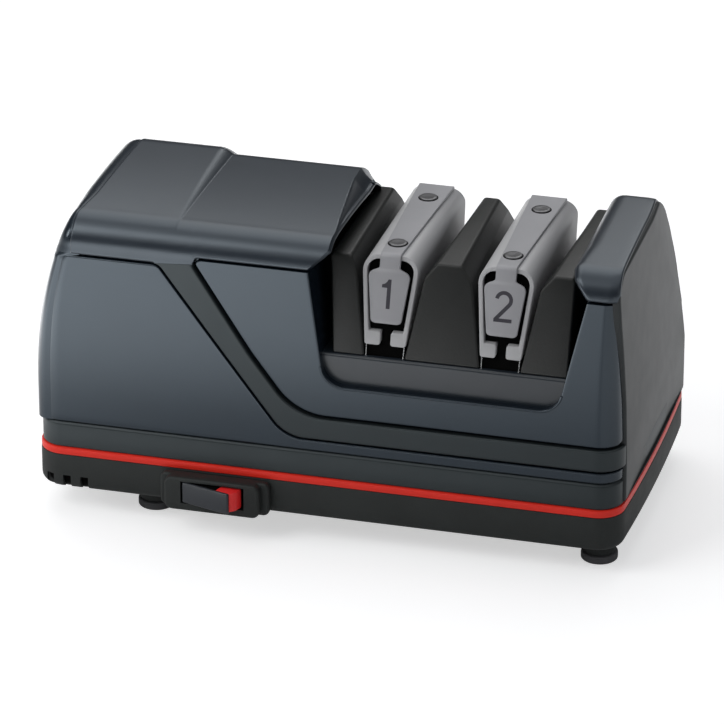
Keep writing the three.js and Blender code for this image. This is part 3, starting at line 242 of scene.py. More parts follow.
def cut_from(piece: bpy.types.Object, tool: bpy.types.Object,
             operation: str = "DIFFERENCE") -> bpy.types.Object:
    """Cuts one closed piece with another, which is then dropped."""
    modified(piece, "BOOLEAN", object=tool, operation=operation, solver="EXACT")
    mesh = tool.data
    bpy.data.objects.remove(tool)
    bpy.data.meshes.remove(mesh)
    return piece


# Outlines in a plane


def fillet(points: Sequence[Sequence[float]], steps: int = 8, closed: bool = True) -> Array:
    """An outline whose corners are rounded.

    Args:
        points: Corners (a, b) or (a, b, radius).
        steps: Points along each rounded corner.
        closed: Whether the last corner joins the first.

    Returns:
        An array of shape (n, 2).
    """
    corner = [np.array(p[:2], float) for p in points]
    out = []
    for i, point in enumerate(points):
        radius = point[2] if len(point) > 2 else 0.0
        if radius == 0 or (not closed and i in (0, len(points) - 1)):
            out.append(corner[i][None])
            continue
        before = corner[i - 1] - corner[i]
        after = corner[(i + 1) % len(points)] - corner[i]
        before, after = before / np.linalg.norm(before), after / np.linalg.norm(after)
        half = math.acos(float(np.clip(before @ after, -1, 1))) / 2
        start = corner[i] + before * radius / math.tan(half)
        end = corner[i] + after * radius / math.tan(half)
        middle = (before + after) / np.linalg.norm(before + after)
        centre = corner[i] + middle * radius / math.sin(half)
        a, b = start - centre, end - centre
        turn = math.atan2(a[0] * b[1] - a[1] * b[0], a @ b)
        angle = math.atan2(a[1], a[0]) + np.linspace(0, turn, steps + 1)
        out.append(centre + radius * np.stack([np.cos(angle), np.sin(angle)], -1))
    return np.concatenate(out)


def even(path: Array, count: int, closed: bool = False) -> Array:
    """Points spaced evenly along a path.

    Args:
        path: Points of shape (n, k).
        count: How many points to give.
        closed: Whether the path returns to its start, which is then not repeated.

    Returns:
        An array of shape (count, k).
    """
    points = np.vstack([path, path[:1]]) if closed else path
    along = np.concatenate([[0], np.cumsum(np.linalg.norm(np.diff(points, axis=0), axis=1))])
    want = np.linspace(0, along[-1], count, endpoint=not closed)
    return np.stack([np.interp(want, along, points[:, k]) for k in range(points.shape[1])], -1)


def beside(path: Array, distance: float) -> Array:
    """An open path moved to its left, each point along its own normal."""
    tangent = np.gradient(path, axis=0)
    tangent /= np.linalg.norm(tangent, axis=1, keepdims=True) + 1e-12
    return path + distance * np.stack([-tangent[:, 1], tangent[:, 0]], -1)


def inset(loop: Array, distance: float) -> Array:
    """A closed outline moved inwards, each point along the mean of its edges' normals.

    Args:
        loop: Points of shape (n, 2), running anticlockwise.
        distance: How far inwards they go.

    Returns:
        The moved points.
    """
    before = loop - np.roll(loop, 1, 0)
    after = np.roll(loop, -1, 0) - loop
    before /= np.linalg.norm(before, axis=1, keepdims=True) + 1e-12
    after /= np.linalg.norm(after, axis=1, keepdims=True) + 1e-12
    normal = np.stack([-(before + after)[:, 1], (before + after)[:, 0]], -1)
    normal /= np.linalg.norm(normal, axis=1, keepdims=True) + 1e-12
    share = np.clip(np.abs((normal * np.stack([-before[:, 1], before[:, 0]], -1)).sum(1)), 0.5, 1)
    return loop + normal * (distance / share)[:, None]


def pillow_rings(loop: Array, edge: float, depth: float, steps: int = 5) -> list[tuple[Array, float]]:
    """Levels of a slab with a rounded rim: outlines and how far each lies under the face.

    Args:
        loop: The outline, anticlockwise.
        edge: Radius of the rim.
        depth: Thickness of the slab.
        steps: Levels along the rim.

    Returns:
        Pairs of an outline and its depth, from the back to the face.
    """
    levels = [(loop, depth)]
    for angle in np.linspace(0, math.pi / 2, steps + 1):
        levels.append((inset(loop, edge * (1 - math.cos(angle))), edge * (1 - math.sin(angle))))
    return levels


# Finishes


class Grain(Enum):
    """What the surface of a finish is broken up by."""

    POLISHED = "polished"
    MOULDED = "moulded"
    BRUSHED = "brushed"
    GRIT = "grit"
    LAMINATED = "laminated"
    WOUND = "wound"


@dataclass(frozen=True)
class Finish:
    """One procedural finish, whose pattern lies in the object's own coordinates."""

    name: str
    slot: str
    colour: tuple[float, float, float]
    roughness: float
    grain: Grain = Grain.MOULDED
    metallic: float = 0.0
    coat: float = 0.0
    coat_roughness: float = 0.1
    specular: float = 0.5
    tint: tuple[float, float, float] = (1.0, 1.0, 1.0)
    bump: float = 0.05
    scale: float = 900.0
    mottle: float = 0.06

    def material(self) -> bpy.types.Material:
        """The finish as a node material, made once and then reused."""
        if self.name in bpy.data.materials:
            return bpy.data.materials[self.name]
        material = bpy.data.materials.new(self.name)
        material.use_nodes = True
        material.diffuse_color = (*self.colour, 1.0)
        tree = material.node_tree
        shader = tree.nodes["Principled BSDF"]
        shader.inputs["Metallic"].default_value = self.metallic
        shader.inputs["Coat Weight"].default_value = self.coat
        shader.inputs["Coat Roughness"].default_value = self.coat_roughness
        shader.inputs["Specular IOR Level"].default_value = self.specular
        shader.inputs["Specular Tint"].default_value = (*self.tint, 1.0)
        self._colour(tree, shader)
        self._roughness(tree, shader)
        self._bump(tree, shader)
        return material

    def _coords(self, tree: bpy.types.NodeTree,
                scale: tuple[float, float, float]) -> bpy.types.NodeSocket:
        """Object coordinates, stretched for the grain."""
        coords = tree.nodes.new("ShaderNodeTexCoord")
        mapping = tree.nodes.new("ShaderNodeMapping")
        mapping.inputs["Scale"].default_value = scale
        tree.links.new(coords.outputs["Object"], mapping.inputs["Vector"])
        return mapping.outputs["Vector"]

    def _noise(self, tree: bpy.types.NodeTree, scale: float, detail: float,
               stretch: tuple[float, float, float] = (1, 1, 1)) -> bpy.types.NodeSocket:
        """A noise pattern's value."""
        noise = tree.nodes.new("ShaderNodeTexNoise")
        noise.inputs["Scale"].default_value = scale
        noise.inputs["Detail"].default_value = detail
        tree.links.new(self._coords(tree, stretch), noise.inputs["Vector"])
        return noise.outputs["Fac"]

    def _colour(self, tree: bpy.types.NodeTree, shader: bpy.types.Node) -> None:
        """Base colour: the finish's own, slightly lighter and darker in soft patches."""
        ramp = tree.nodes.new("ShaderNodeValToRGB")
        dark = [c * (1 - self.mottle) for c in self.colour]
        light = [min(1.0, c * (1 + self.mottle)) for c in self.colour]
        ramp.color_ramp.elements[0].position = 0.35
        ramp.color_ramp.elements[0].color = (*dark, 1)
        ramp.color_ramp.elements[1].position = 0.65
        ramp.color_ramp.elements[1].color = (*light, 1)
        fine = self.grain in (Grain.GRIT, Grain.BRUSHED)
        stretch = (0.15, 1, 1) if self.grain is Grain.BRUSHED else (1, 1, 1)
        value = self._noise(tree, self.scale if fine else 60.0, 4.0, stretch)
        tree.links.new(value, ramp.inputs["Fac"])
        tree.links.new(ramp.outputs["Color"], shader.inputs["Base Color"])

    def _roughness(self, tree: bpy.types.NodeTree, shader: bpy.types.Node) -> None:
        """Roughness: a narrow range round the finish's own value."""
        span = tree.nodes.new("ShaderNodeMapRange")
        span.inputs["To Min"].default_value = self.roughness * 0.9
        span.inputs["To Max"].default_value = min(1.0, self.roughness * 1.1)
        stretch = (0.1, 1, 1) if self.grain is Grain.BRUSHED else (1, 1, 1)
        tree.links.new(self._noise(tree, 140.0, 3.0, stretch), span.inputs["Value"])
        tree.links.new(span.outputs["Result"], shader.inputs["Roughness"])

    def _bump(self, tree: bpy.types.NodeTree, shader: bpy.types.Node) -> None:
        """Bump: the mould's grain, brush lines, grit, sheet edges or wire turns."""
        if self.bump == 0:
            return
        bump = tree.nodes.new("ShaderNodeBump")
        bump.inputs["Strength"].default_value = self.bump
        bump.inputs["Distance"].default_value = 0.0004
        if self.grain in (Grain.LAMINATED, Grain.WOUND):
            wave = tree.nodes.new("ShaderNodeTexWave")
            wave.bands_direction = "X"
            wave.inputs["Scale"].default_value = self.scale
            wave.inputs["Distortion"].default_value = 0.4
            tree.links.new(self._coords(tree, (1, 1, 1)), wave.inputs["Vector"])
            height = wave.outputs["Fac"]
        else:
            stretch = (0.05, 1, 1) if self.grain is Grain.BRUSHED else (1, 1, 1)
            height = self._noise(tree, self.scale, 2.0, stretch)
        tree.links.new(height, bump.inputs["Height"])
        tree.links.new(bump.outputs["Normal"], shader.inputs["Normal"])

    def on(self, piece: bpy.types.Object) -> bpy.types.Object:
        """Gives a piece this finish alone."""
        piece.data.materials.clear()
        piece.data.materials.append(self.material())
        return piece

    def on_node(self, node: str) -> None:
        """Gives a CAD node this finish in each of its slots."""
        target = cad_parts[node]
        if not target.data.materials:
            target.data.materials.append(self.material())
        for index in range(len(target.material_slots)):
            target.material_slots[index].material = self.material()


GLOSS = Finish("gloss_black_moulding", "gloss_black", (0.008, 0.013, 0.020), 0.22, Grain.POLISHED,
               specular=0.62, tint=(0.78, 0.90, 1.0), bump=0.01, scale=500.0)
SATIN = Finish("satin_black_moulding", "gloss_black", (0.013, 0.017, 0.018), 0.42, specular=0.45,
               tint=(0.85, 0.95, 1.0), bump=0.03, scale=1500.0)
HOOD = Finish("hood_black_moulding", "gloss_black", (0.011, 0.015, 0.022), 0.31, specular=0.75,
              tint=(0.80, 0.91, 1.0), bump=0.008, scale=900.0)
END_CAP = Finish("end_cap_moulding", "satin_grey", (0.036, 0.040, 0.041), 0.42, specular=0.22, bump=0.03,
                 scale=1500.0)
MATTE = Finish("matte_black_moulding", "matte_black", (0.017, 0.020, 0.019), 0.62, specular=0.35, bump=0.16,
               scale=1100.0, mottle=0.12)
BLOCK = Finish("guide_block_moulding", "matte_black", (0.007, 0.008, 0.0075), 0.42, specular=0.4, bump=0.10,
               scale=1300.0, mottle=0.12)
APRON = Finish("apron_moulding", "satin_grey", (0.016, 0.022, 0.029), 0.34, bump=0.05, scale=900.0)
RED_TRIM = Finish("red_stripe_plastic", "stripe_red", (0.86, 0.032, 0.018), 0.40, specular=0.3, bump=0.02,
                  scale=1200.0, mottle=0.03)
RUBBER = Finish("foot_rubber", "foot_rubber", (0.006, 0.006, 0.006), 0.75, specular=0.25, bump=0.10,
                scale=1400.0)
ROCKER_RED = Finish("rocker_red_plastic", "rocker_red", (1.0, 0.030, 0.030), 0.34, Grain.POLISHED,
                    specular=0.4, bump=0.01, mottle=0.03)
ROCKER_BLACK = Finish("rocker_black_plastic", "satin_grey", (0.020, 0.024, 0.030), 0.34, bump=0.03,
                      scale=1400.0)
ARCH = Finish("arch_grey_plastic", "arch_grey", (0.47, 0.47, 0.475), 0.42, bump=0.03, scale=1600.0,
              mottle=0.03)
PLATE = Finish("plate_grey_metal", "plate_grey", (0.34, 0.34, 0.355), 0.45, metallic=0.1, bump=0.04,
               scale=1500.0, mottle=0.03)
RIVET = Finish("rivet_steel", "steel", (0.14, 0.14, 0.145), 0.34, metallic=0.85, bump=0.05)
STEEL = Finish("bright_steel", "steel", (0.60, 0.61, 0.62), 0.26, Grain.BRUSHED, metallic=1.0, bump=0.05)
GRIT = Finish("diamond_grit", "abrasive", (0.20, 0.20, 0.205), 0.62, Grain.GRIT, metallic=0.5, bump=0.5,
              scale=2600.0, mottle=0.4)
LAMINATION = Finish("stacked_sheet_steel", "lamination", (0.20, 0.205, 0.21), 0.45, Grain.LAMINATED,
                    metallic=0.8, bump=0.4, scale=320.0)
COPPER = Finish("taped_copper", "copper", (0.45, 0.17, 0.07), 0.40, Grain.WOUND, metallic=0.8, bump=0.6,
                scale=180.0)
BRONZE = Finish("sintered_bronze", "bronze", (0.38, 0.26, 0.11), 0.45, Grain.GRIT, metallic=0.9, bump=0.1,
                scale=1500.0)
INK = Finish("digit_ink", "matte_black", (0.045, 0.042, 0.052), 0.55, specular=0.3, bump=0.0)
# Near-black that stands for deep shade: painted shade in the vents, in the saddle's side gap, round the
# rivets, inside the arches and in the switch's opening.
SHADE_BLACK = Finish("painted_shade_black", "matte_black", (0.0015, 0.0015, 0.0015), 0.85, specular=0.05, bump=0.05)


def dressed(piece: bpy.types.Object, finish: Finish, body: str, *nodes: str) -> bpy.types.Object:
    """Finishes a piece, lets it ride on a body and stand for CAD nodes.

    Args:
        piece: The piece.
        finish: Its finish.
        body: The CAD body that it moves with.
        *nodes: The CAD nodes that it replaces.

    Returns:
        The same piece.
    """
    finish.on(piece)
    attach(piece, body)
    if nodes:
        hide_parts(*nodes)
    LOG.info("%s: %d faces, rides on %s", piece.name, len(piece.data.polygons), body)
    return piece


# The housing's form


@dataclass(frozen=True)
class BodyForm:
    """The long box with leaning ends, near flat roof and swept back that all covers follow."""

    length: float = 200.0
    depth: float = 104.0
    corner: float = 8.5
    top_corner: float = 4.0
    crown: float = 1.4
    lean_start: float = 45.0
    lean_top: float = 106.0
    left_lean: float = 12.0
    right_lean: float = 2.2
    front_lean: float = 1.4
    lean_power: float = 1.7
    shoulder: float = 96.8
    roof_radius: float = 10.0
    blend_start: float = 90.0
    left_power: float = 2.2
    ridge: float = 109.5
    ridge_place: float = 8.0
    sweep: float = 50.0
    sweep_start: float = 40.0
    sweep_rise: float = 71.0

    def lean(self, z: Array) -> Array:
        """How far the ends lean in at a height: a power of the height above the start, 0 to 1."""
        return np.clip((z - self.lean_start) / (self.lean_top - self.lean_start), 0, None) ** self.lean_power

    def front(self, z: Array) -> Array:
        """Y of the front wall at a height."""
        return -self.depth / 2 + self.front_lean * np.minimum(1, self.lean(z))

    def rear(self, z: Array) -> Array:
        """Y of the rear wall at a height: a quarter of a squarish ellipse above the start."""
        share = np.clip((z - self.sweep_start) / self.sweep_rise, 0, 1)
        kept = (1 - share**self.lean_power) ** (1 / self.lean_power)
        return self.depth / 2 - self.sweep + self.sweep * kept

    def left(self, z: Array) -> Array:
        """X of the left end at a height."""
        return -self.length / 2 + self.left_lean * self.lean(z) ** (self.left_power / self.lean_power)

    def right(self, z: Array) -> Array:
        """X of the right end at a height."""
        return self.length / 2 - self.right_lean * self.lean(z)

    def radius(self, z: Array) -> Array:
        """Radius of the upright corners at a height."""
        return self.corner + (self.top_corner - self.corner) * np.minimum(1, self.lean(z))

    def point(self, along: Array, back: Array, angle: Array, z: Array, grow: Array) -> Array:
        """A point of the rounded box at a height.

        The corner circles' centres are mixed along X and Y by two shares, and the point lies on
        the circle there at an angle. A share between 0 and 1 with the angle square to its side
        runs along that side. The ends are crowned: X is drawn in with the square of Y.

        Args:
            along: 0 at the left corners and 1 at the right ones.
            back: 0 at the front corners and 1 at the rear ones.
            angle: Direction of the outward normal in radians.
            z: Height.
            grow: How far outside the form the point lies.

        Returns:
            Points of shape (..., 3).
        """
        along, back, angle, z, grow = np.broadcast_arrays(along, back, angle, z, grow)
        radius = self.radius(z)
        left, right = self.left(z) + radius, self.right(z) - radius
        front, rear = self.front(z) + radius, self.rear(z) - radius
        x = left + (right - left) * along + (radius + grow) * np.cos(angle)
        y = front + (rear - front) * back + (radius + grow) * np.sin(angle)
        x = x - (2 * along - 1) * self.crown * (y / (self.depth / 2)) ** 2
        return np.stack([x, y, z], -1)

    def share_at(self, x: Array, z: Array) -> Array:
        """The front wall's share along X that gives a wanted X at a height, past its ends too."""
        radius = self.radius(z)
        left, right = self.left(z) + radius, self.right(z) - radius
        pull = self.crown * (self.front(z) / (self.depth / 2)) ** 2
        return (x - pull - left) / (right - left - 2 * pull)

    def wrap(self, q: Array, z: Array, grow: Array) -> Array:
        """A point of the front wall or, past its ends, of the corners beside it.

        Args:
            q: X along the front wall, which past a corner's start counts the arc's length.
            z: Height.
            grow: How far outside the form the point lies.

        Returns:
            Points of shape (..., 3).
        """
        q, z, grow = np.broadcast_arrays(np.asarray(q, float), z, grow)
        share = self.share_at(q, z)
        radius = self.radius(z)
        ends = [self.point(s, 0.0, -math.pi / 2, z, 0.0)[..., 0] for s in (0.0, 1.0)]
        before = np.clip((ends[0] - q) / radius, 0, math.pi / 2)
        past = np.clip((q - ends[1]) / radius, 0, math.pi / 2)
        return self.point(np.clip(share, 0, 1), 0.0, -math.pi / 2 - before + past, z, grow)

    def groove(self, z: Array) -> Array:
        """The wrapped coordinate at which the front right corner's arc reaches the right end."""
        start = self.point(1.0, 0.0, -math.pi / 2, z, 0.0)[..., 0]
        return start + self.radius(z) * math.pi / 2

    def stations(self, corner_steps: int = 10, side_steps: int = 40,
                 end_steps: int = 20) -> tuple[Array, Array, Array]:
        """Shares and angles once round the whole plan, anticlockwise from the front's right end.

        Args:
            corner_steps: Points on each corner's arc.
            side_steps: Points between the corners of a long side.
            end_steps: Points between the corners of an end.

        Returns:
            The shares along X, the shares along Y and the normals' angles.
        """
        along, back, angle = [], [], []
        corners = [(1.0, 0.0), (1.0, 1.0), (0.0, 1.0), (0.0, 0.0)]
        for index, (a, b) in enumerate(corners):
            sweep = math.radians(-90 + 90 * index) + np.linspace(0, math.pi / 2, corner_steps + 1)
            along.append(np.full(sweep.size, a))
            back.append(np.full(sweep.size, b))
            angle.append(sweep)
            after = corners[(index + 1) % 4]
            count = end_steps if index % 2 == 0 else side_steps
            share = np.linspace(0, 1, count + 1)[1:-1]
            along.append(a + (after[0] - a) * share)
            back.append(b + (after[1] - b) * share)
            angle.append(np.full(share.size, sweep[-1]))
        return np.concatenate(along), np.concatenate(back), np.concatenate(angle)

    def ring(self, z: float, grow: float, **steps: int) -> Array:
        """One closed level of the form, as points of shape (n, 3)."""
        along, back, angle = self.stations(**steps)
        return self.point(along, back, angle, np.full(along.size, float(z)), grow)

    def profile(self, lip: float, grow: float, rear_lip: float, count: int) -> Array:
        """The section across the roof, from the front lip over the ridge to the rear lip.

        It runs up the leaning front wall, round the shoulder, along the gentle rise of the roof
        and down the swept back, and is then moved out along its own normal.

        Args:
            lip: Height of the front lip.
            grow: How far outside the form the section lies.
            rear_lip: Height of the rear lip.
            count: How many points it has.

        Returns:
            Points (y, z) of shape (count, 2).
        """
        wall = np.linspace(lip, self.shoulder, 12)
        turn = np.linspace(math.pi, math.pi / 2, 14)
        top = float(self.front(np.array(self.lean_top)))
        blend = top - float(self.front(np.array(self.shoulder)))
        rise = np.linspace(0, 1, 30)[1:]
        start = np.array([top + self.roof_radius, self.shoulder + self.roof_radius])
        peak = np.array([self.ridge_place, self.ridge])
        knee = np.array([(top + self.ridge_place) / 2, self.ridge - (self.ridge - start[1]) / 4])
        roof = (((1 - rise) ** 2)[:, None] * start + (2 * rise * (1 - rise))[:, None] * knee
                + (rise**2)[:, None] * peak)
        down = self.ridge - (self.ridge - rear_lip) * np.linspace(0, 1, 60)[1:] ** 1.5
        path = np.vstack([
            np.stack([self.front(wall) + blend * np.clip((wall - self.blend_start) / (
                self.shoulder - self.blend_start), 0, 1) ** 2, wall], -1)[:-1],
            np.stack([top + self.roof_radius * (1 + np.cos(turn)),
                      self.shoulder + self.roof_radius * np.sin(turn)], -1),
            roof, np.stack([self.rear(down), down], -1),
        ])
        path = even(path, count)
        tangent = np.gradient(path, axis=0)
        tangent /= np.linalg.norm(tangent, axis=1, keepdims=True)
        return path + grow * np.stack([-tangent[:, 1], tangent[:, 0]], -1)


FORM = BodyForm()


@dataclass(frozen=True)
class Relief:
    """Where the housing's bands, panels, hoods and saddle lie on its form."""

    stripe_high: float = 24.6
    belt_inset: float = 0.7
    crease: float = 33.6
    band_low: float = 38.4
    band_high: float = 45.9
    lip: float = 97.3
    hood_lip: float = 94.3
    hood_left: float = -85.5
    hood_left_top: float = -82.4
    step: float = -52.2
    step_foot: float = -47.6
    hood_rise: float = 2.0
    rim: float = 0.9
    rim_front: float = 4.6
    rim_rear: float = 7.6
    scallop_width: float = 5.2
    scallop_drop: float = 4.2
    scallop_land: float = 1.2
    panel_arc: float = 0.56
    diagonal_top: float = -55.5
    diagonal_slope: tuple[float, float] = (38.8, -50.8)
    diagonal_right_top: float = -45.6
    diagonal_knee: tuple[float, float] = (-24.9, 65.9)
    low_corner: float = 3.8
    high_corner: float = 2.0
    band_turn: float = 12.7
    band_turn_high: float = 21.0
    saddle_left: float = -5.2
    saddle_right: float = 86.2
    saddle_low_left: float = 0.4
    saddle_low_right: float = 77.0
    saddle_floor: float = 57.9
    saddle_corner: float = 8.0
    hood_right: float = 1.6
    tower_left: float = 82.8
    neck: float = 104.0
    panel_drop: float = 0.8
    skin_drop: float = 2.7
    gap: float = 0.85
    edge: float = 0.55
    rear_lip: float = 46.0

    def band_outline(self) -> tuple[Array, Array]:
        """Both edges of the band as (q, z) points, each from the lip's line to the right end's groove.

        The first point of each lies on the lip far from the band, and the arc after it rounds the
        panel's corner.
        """
        run, fall = self.diagonal_slope
        end = float(FORM.groove(np.array(self.band_low))) - 0.6
        foot = self.diagonal_top + (self.hood_lip - self.band_low) * run / -fall
        low = fillet([
            (self.hood_left - 6, self.hood_lip), (self.diagonal_top, self.hood_lip, self.low_corner),
            (foot, self.band_low, self.band_turn), (end, self.band_low)], 24, closed=False)
        knee_q, knee_z = self.diagonal_knee
        high_foot = knee_q + (knee_z - self.band_high) * run / -fall
        high = fillet([(self.saddle_left, self.lip), (self.diagonal_right_top, self.lip, self.high_corner),
                       (knee_q, knee_z, 60.0), (high_foot, self.band_high, self.band_turn_high),
                       (end, self.band_high)], 24, closed=False)
        return low, high

    def band_edges(self, count: int) -> tuple[Array, Array]:
        """Lower left and upper right edges of the band alone, as (q, z) points.

        Args:
            count: Points along each edge.

        Returns:
            The two edges, which start under the hood and end at the right end's groove.
        """
        low, high = self.band_outline()
        return even(low[1:], count), even(high[int(np.argmin(high[:26, 0])):], count)

    def lip_line(self) -> Array:
        """The hood's lower front edge as (x, z) points, where it meets and passes the band."""
        low, high = self.band_outline()
        turn = int(np.argmin(high[:26, 0]))
        return np.vstack([low[1:2], high[1 : turn + 1][::-1]])

    def saddle_side(self, grow: float, left: bool) -> Array:
        """One edge of the saddle from the roof down to its floor, as (x, z) points.

        Args:
            grow: How far outside the opening the edge lies.
            left: Whether it is the hood's edge, not the tower's.

        Returns:
            Points of shape (n, 2), ending at the start of the floor.
        """
        top = FORM.ridge + 20
        if left:
            outline = [(self.hood_right - grow, top), (self.hood_right - grow, self.neck),
                       (self.saddle_left - grow, self.lip, 1.0),
                       (self.saddle_low_left - grow, self.saddle_floor - grow, self.saddle_corner),
                       (self.saddle_low_left + 3 * self.saddle_corner, self.saddle_floor - grow)]
        else:
            outline = [(self.tower_left + grow, top), (self.tower_left + grow, self.neck),
                       (self.saddle_right + grow, self.lip, 1.0),
                       (self.saddle_low_right + grow, self.saddle_floor - grow, self.saddle_corner),
                       (self.saddle_low_right - 3 * self.saddle_corner, self.saddle_floor - grow)]
        return fillet(outline, 14, closed=False)


RELIEF = Relief()


def relief_strip(name: str, low: Array, high: Array, lift: float, depth: float, rows: int = 16,
                 edge: float = RELIEF.edge) -> bpy.types.Object:
    """A closed raised strip between two edges on the wrapped form.

    Across the strip the height rises from the back by a quarter circle to the face, stays there,
    and falls by a quarter circle at the other edge.

    Args:
        name: The piece's name.
        low: One edge's (q, z) points.
        high: The other edge's points, as many.
        lift: How far outside the form the face lies.
        depth: How far under the face the back lies.
        rows: Points across the face.
        edge: Radius of the two rims.

    Returns:
        The new object.
    """
    turn = np.linspace(0, math.pi / 2, 6)
    width = np.linalg.norm(high - low, axis=1)
    near = edge * (1 - np.cos(turn))
    fall = edge * (1 - np.sin(turn))
    inner = np.linspace(0, 1, rows + 2)[1:-1]
    share = [np.zeros_like(width)] + [n / width for n in near]
    share += [edge / width + (1 - 2 * edge / width) * s for s in inner]
    share += [1 - n / width for n in near[::-1]] + [np.ones_like(width)]
    drop = np.concatenate([[depth], fall, np.zeros(inner.size), fall[::-1], [depth]])
    share = np.array(share)
    flat = low[None] + (high - low)[None] * share[..., None]
    points = FORM.wrap(flat[..., 0], flat[..., 1], (lift - drop)[:, None])
    return tube_piece(name, np.swapaxes(points, 0, 1))


class Housing:
    """The moulded upper casing: skin, panels, bands, hoods, belt and right end cap."""

    def __init__(self, relief: Relief = RELIEF) -> None:
        """Keeps the relief that the covers follow."""
        self.relief = relief

    def build(self) -> None:
        """Builds and dresses every cover of the casing."""
        dressed(self.skin(), GLOSS, "housing", "housing_shell")
        dressed(self.outer_panel(), GLOSS, "housing")
        dressed(self.inner_panel(), GLOSS, "housing")
        dressed(self.band(), SATIN, "housing")
        dressed(self.left_hood(), HOOD, "housing")
        dressed(self.left_cover(), GLOSS, "housing")
        dressed(self.bead(), GLOSS, "housing")
        dressed(self.tower_hood(), HOOD, "housing")
        dressed(self.belt(), SATIN, "housing")
        dressed(self.rear_panel(), GLOSS, "housing")
        dressed(self.end_cap(), END_CAP, "housing", "right_end_cap")

    def skin(self) -> bpy.types.Object:
        """The whole form a little under its covers, cut by the roof's section and the saddle."""
        r = self.relief
        levels = r.stripe_high + (FORM.ridge + 1 - r.stripe_high) * np.linspace(0, 1, 46)
        rings = np.stack([FORM.ring(z, -r.skin_drop) for z in levels])
        body = tube_piece("casing_skin", rings)
        section = FORM.profile(r.stripe_high + 2, -r.skin_drop, r.stripe_high + 2, 160)
        loop = np.vstack([section, [
            (90.0, section[-1, 1]), (90.0, -10.0), (-90.0, -10.0), (-90.0, section[0, 1])]])
        tool = tube_piece("roof_tool", np.stack([
            np.stack([np.full(len(loop), x), loop[:, 0], loop[:, 1]], -1) for x in (-140.0, 140.0)]))
        cut_from(body, tool, "INTERSECT")
        left, right = r.saddle_side(0.3, True), r.saddle_side(0.3, False)
        hollow = r.hood_right - r.scallop_width - 0.6
        left[:, 0] = np.minimum(left[:, 0], np.where(left[:, 1] > r.lip - 1, hollow, 99))
        right[:, 0] = np.maximum(right[:, 0], np.where(right[:, 1] > r.lip - 1, r.tower_left + 3.6, -99))
        cut_from(body, prism("saddle_tool", np.vstack([left, right[::-1]]), -90.0, 90.0, Axis.Y))
        outward(body.data)
        soften(body.data, 30.0)
        return body

    def outer_panel(self) -> bpy.types.Object:
        """The gloss panel left of the diagonal band and under the long band, ending on both corners."""
        r = self.relief
        bound = beside(even(r.band_outline()[0], 400), -r.gap)
        bound[:, 1] = np.minimum(bound[:, 1], r.hood_lip - r.gap)
        share = FORM.share_at(bound[:, 0], bound[:, 1])
        inside = (share > 0.002) & (share < 0.998)
        front = np.concatenate([[0.0], share[inside], [1.0]])
        top = np.concatenate([[r.hood_lip - r.gap], bound[inside, 1], bound[-1:, 1]])
        turn = np.linspace(0, math.pi / 2, 11)[1:]
        begin = np.linspace(r.panel_arc, 0, 10)[:-1]
        along = np.concatenate([np.zeros(9), front, np.ones(10)])
        angle = -math.pi / 2 + np.concatenate([-begin, np.zeros(front.size), turn])
        height = np.concatenate([np.full(9, top[0]), top, np.full(10, top[-1])])
        close = np.zeros(along.size)
        close[:4] = 0.5, 0.18, 0.04, 0.0
        bottom = r.crease + r.gap * 0.4
        arc = np.linspace(0, math.pi / 2, 6)
        rise = r.edge * (1 - np.cos(arc))
        fall = r.edge * (1 - np.sin(arc))
        inner = np.linspace(0, 1, 34)
        z = [np.full(along.size, bottom)] + [np.full(along.size, bottom + s) for s in rise]
        z += [bottom + r.edge + (height - bottom - 2 * r.edge) * s for s in inner[1:-1]]
        z += [height - s for s in rise[::-1]] + [height]
        drop = np.concatenate([[1.6], fall, np.zeros(32), fall[::-1], [1.6]])
        z = np.array(z)
        points = FORM.point(along, 0.0, angle, z, -(r.panel_drop + np.maximum(drop[:, None], close)))
        return tube_piece("outer_panel", np.swapaxes(points, 0, 1))

    def inner_panel(self) -> bpy.types.Object:
        """The gloss panel round the saddle, between its edge and the bands and end groove."""
        r = self.relief
        outer = beside(even(r.band_outline()[1][1:], 400), r.gap)
        lip = r.lip - r.gap
        up = np.linspace(r.band_high + 2, lip, 40)
        corner = FORM.groove(up) - 0.8
        start = np.array([[outer[0, 0], lip]])
        path = np.vstack([start, outer[1:][outer[1:, 0] < corner[0] - 3.0], np.stack([corner, up], -1)])
        left, right = r.saddle_side(0.25, True), r.saddle_side(0.25, False)[::-1]
        window = np.vstack([left[left[:, 1] < lip], right[right[:, 1] < lip]])
        window = np.vstack([[(float(np.interp(lip, left[::-1, 1], left[::-1, 0])), lip)], window,
                            [(float(np.interp(lip, right[:, 1], right[:, 0])), lip)]])
        return relief_strip("inner_panel", *self._matched(window, path), -r.panel_drop, 1.6, 30)

    def _matched(self, window: Array, path: Array) -> tuple[Array, Array]:
        """The saddle's edge and the panel's outer edge as like numbers of points, leg by leg."""
        legs = (90, 120, 70)
        r = self.relief

        def split(line: Array, first: int, second: int) -> Array:
            """Evenly spaced points on the three legs that two corners part."""
            parts = [line[: first + 1], line[first : second + 1], line[second:]]
            spaced = [even(part, count) for part, count in zip(parts, legs)]
            return np.vstack([spaced[0][:-1], spaced[1][:-1], spaced[2]])

        def corner(line: Array, q: float, z: float) -> int:
            """The number of the point nearest to a place."""
            return int(np.argmin(np.hypot(line[:, 0] - q, line[:, 1] - z)))

        middle = [(x, r.saddle_floor + 2.4) for x in (r.saddle_low_left + 2.4, r.saddle_low_right - 2.4)]
        outer = (-12.0, r.band_high + 3.5), (float(FORM.groove(np.array(r.band_high))), r.band_high + 2)
        inner = split(window, corner(window, *middle[0]), corner(window, *middle[1]))
        return inner, split(path, corner(path, *outer[0]), corner(path, *outer[1]))

    def band(self) -> bpy.types.Object:
        """The satin band that runs down the diagonal and along the front to the end's groove."""
        low, high = self.relief.band_edges(300)
        return relief_strip("long_band", low, high, 0.0, 2.4, 14, edge=0.7)

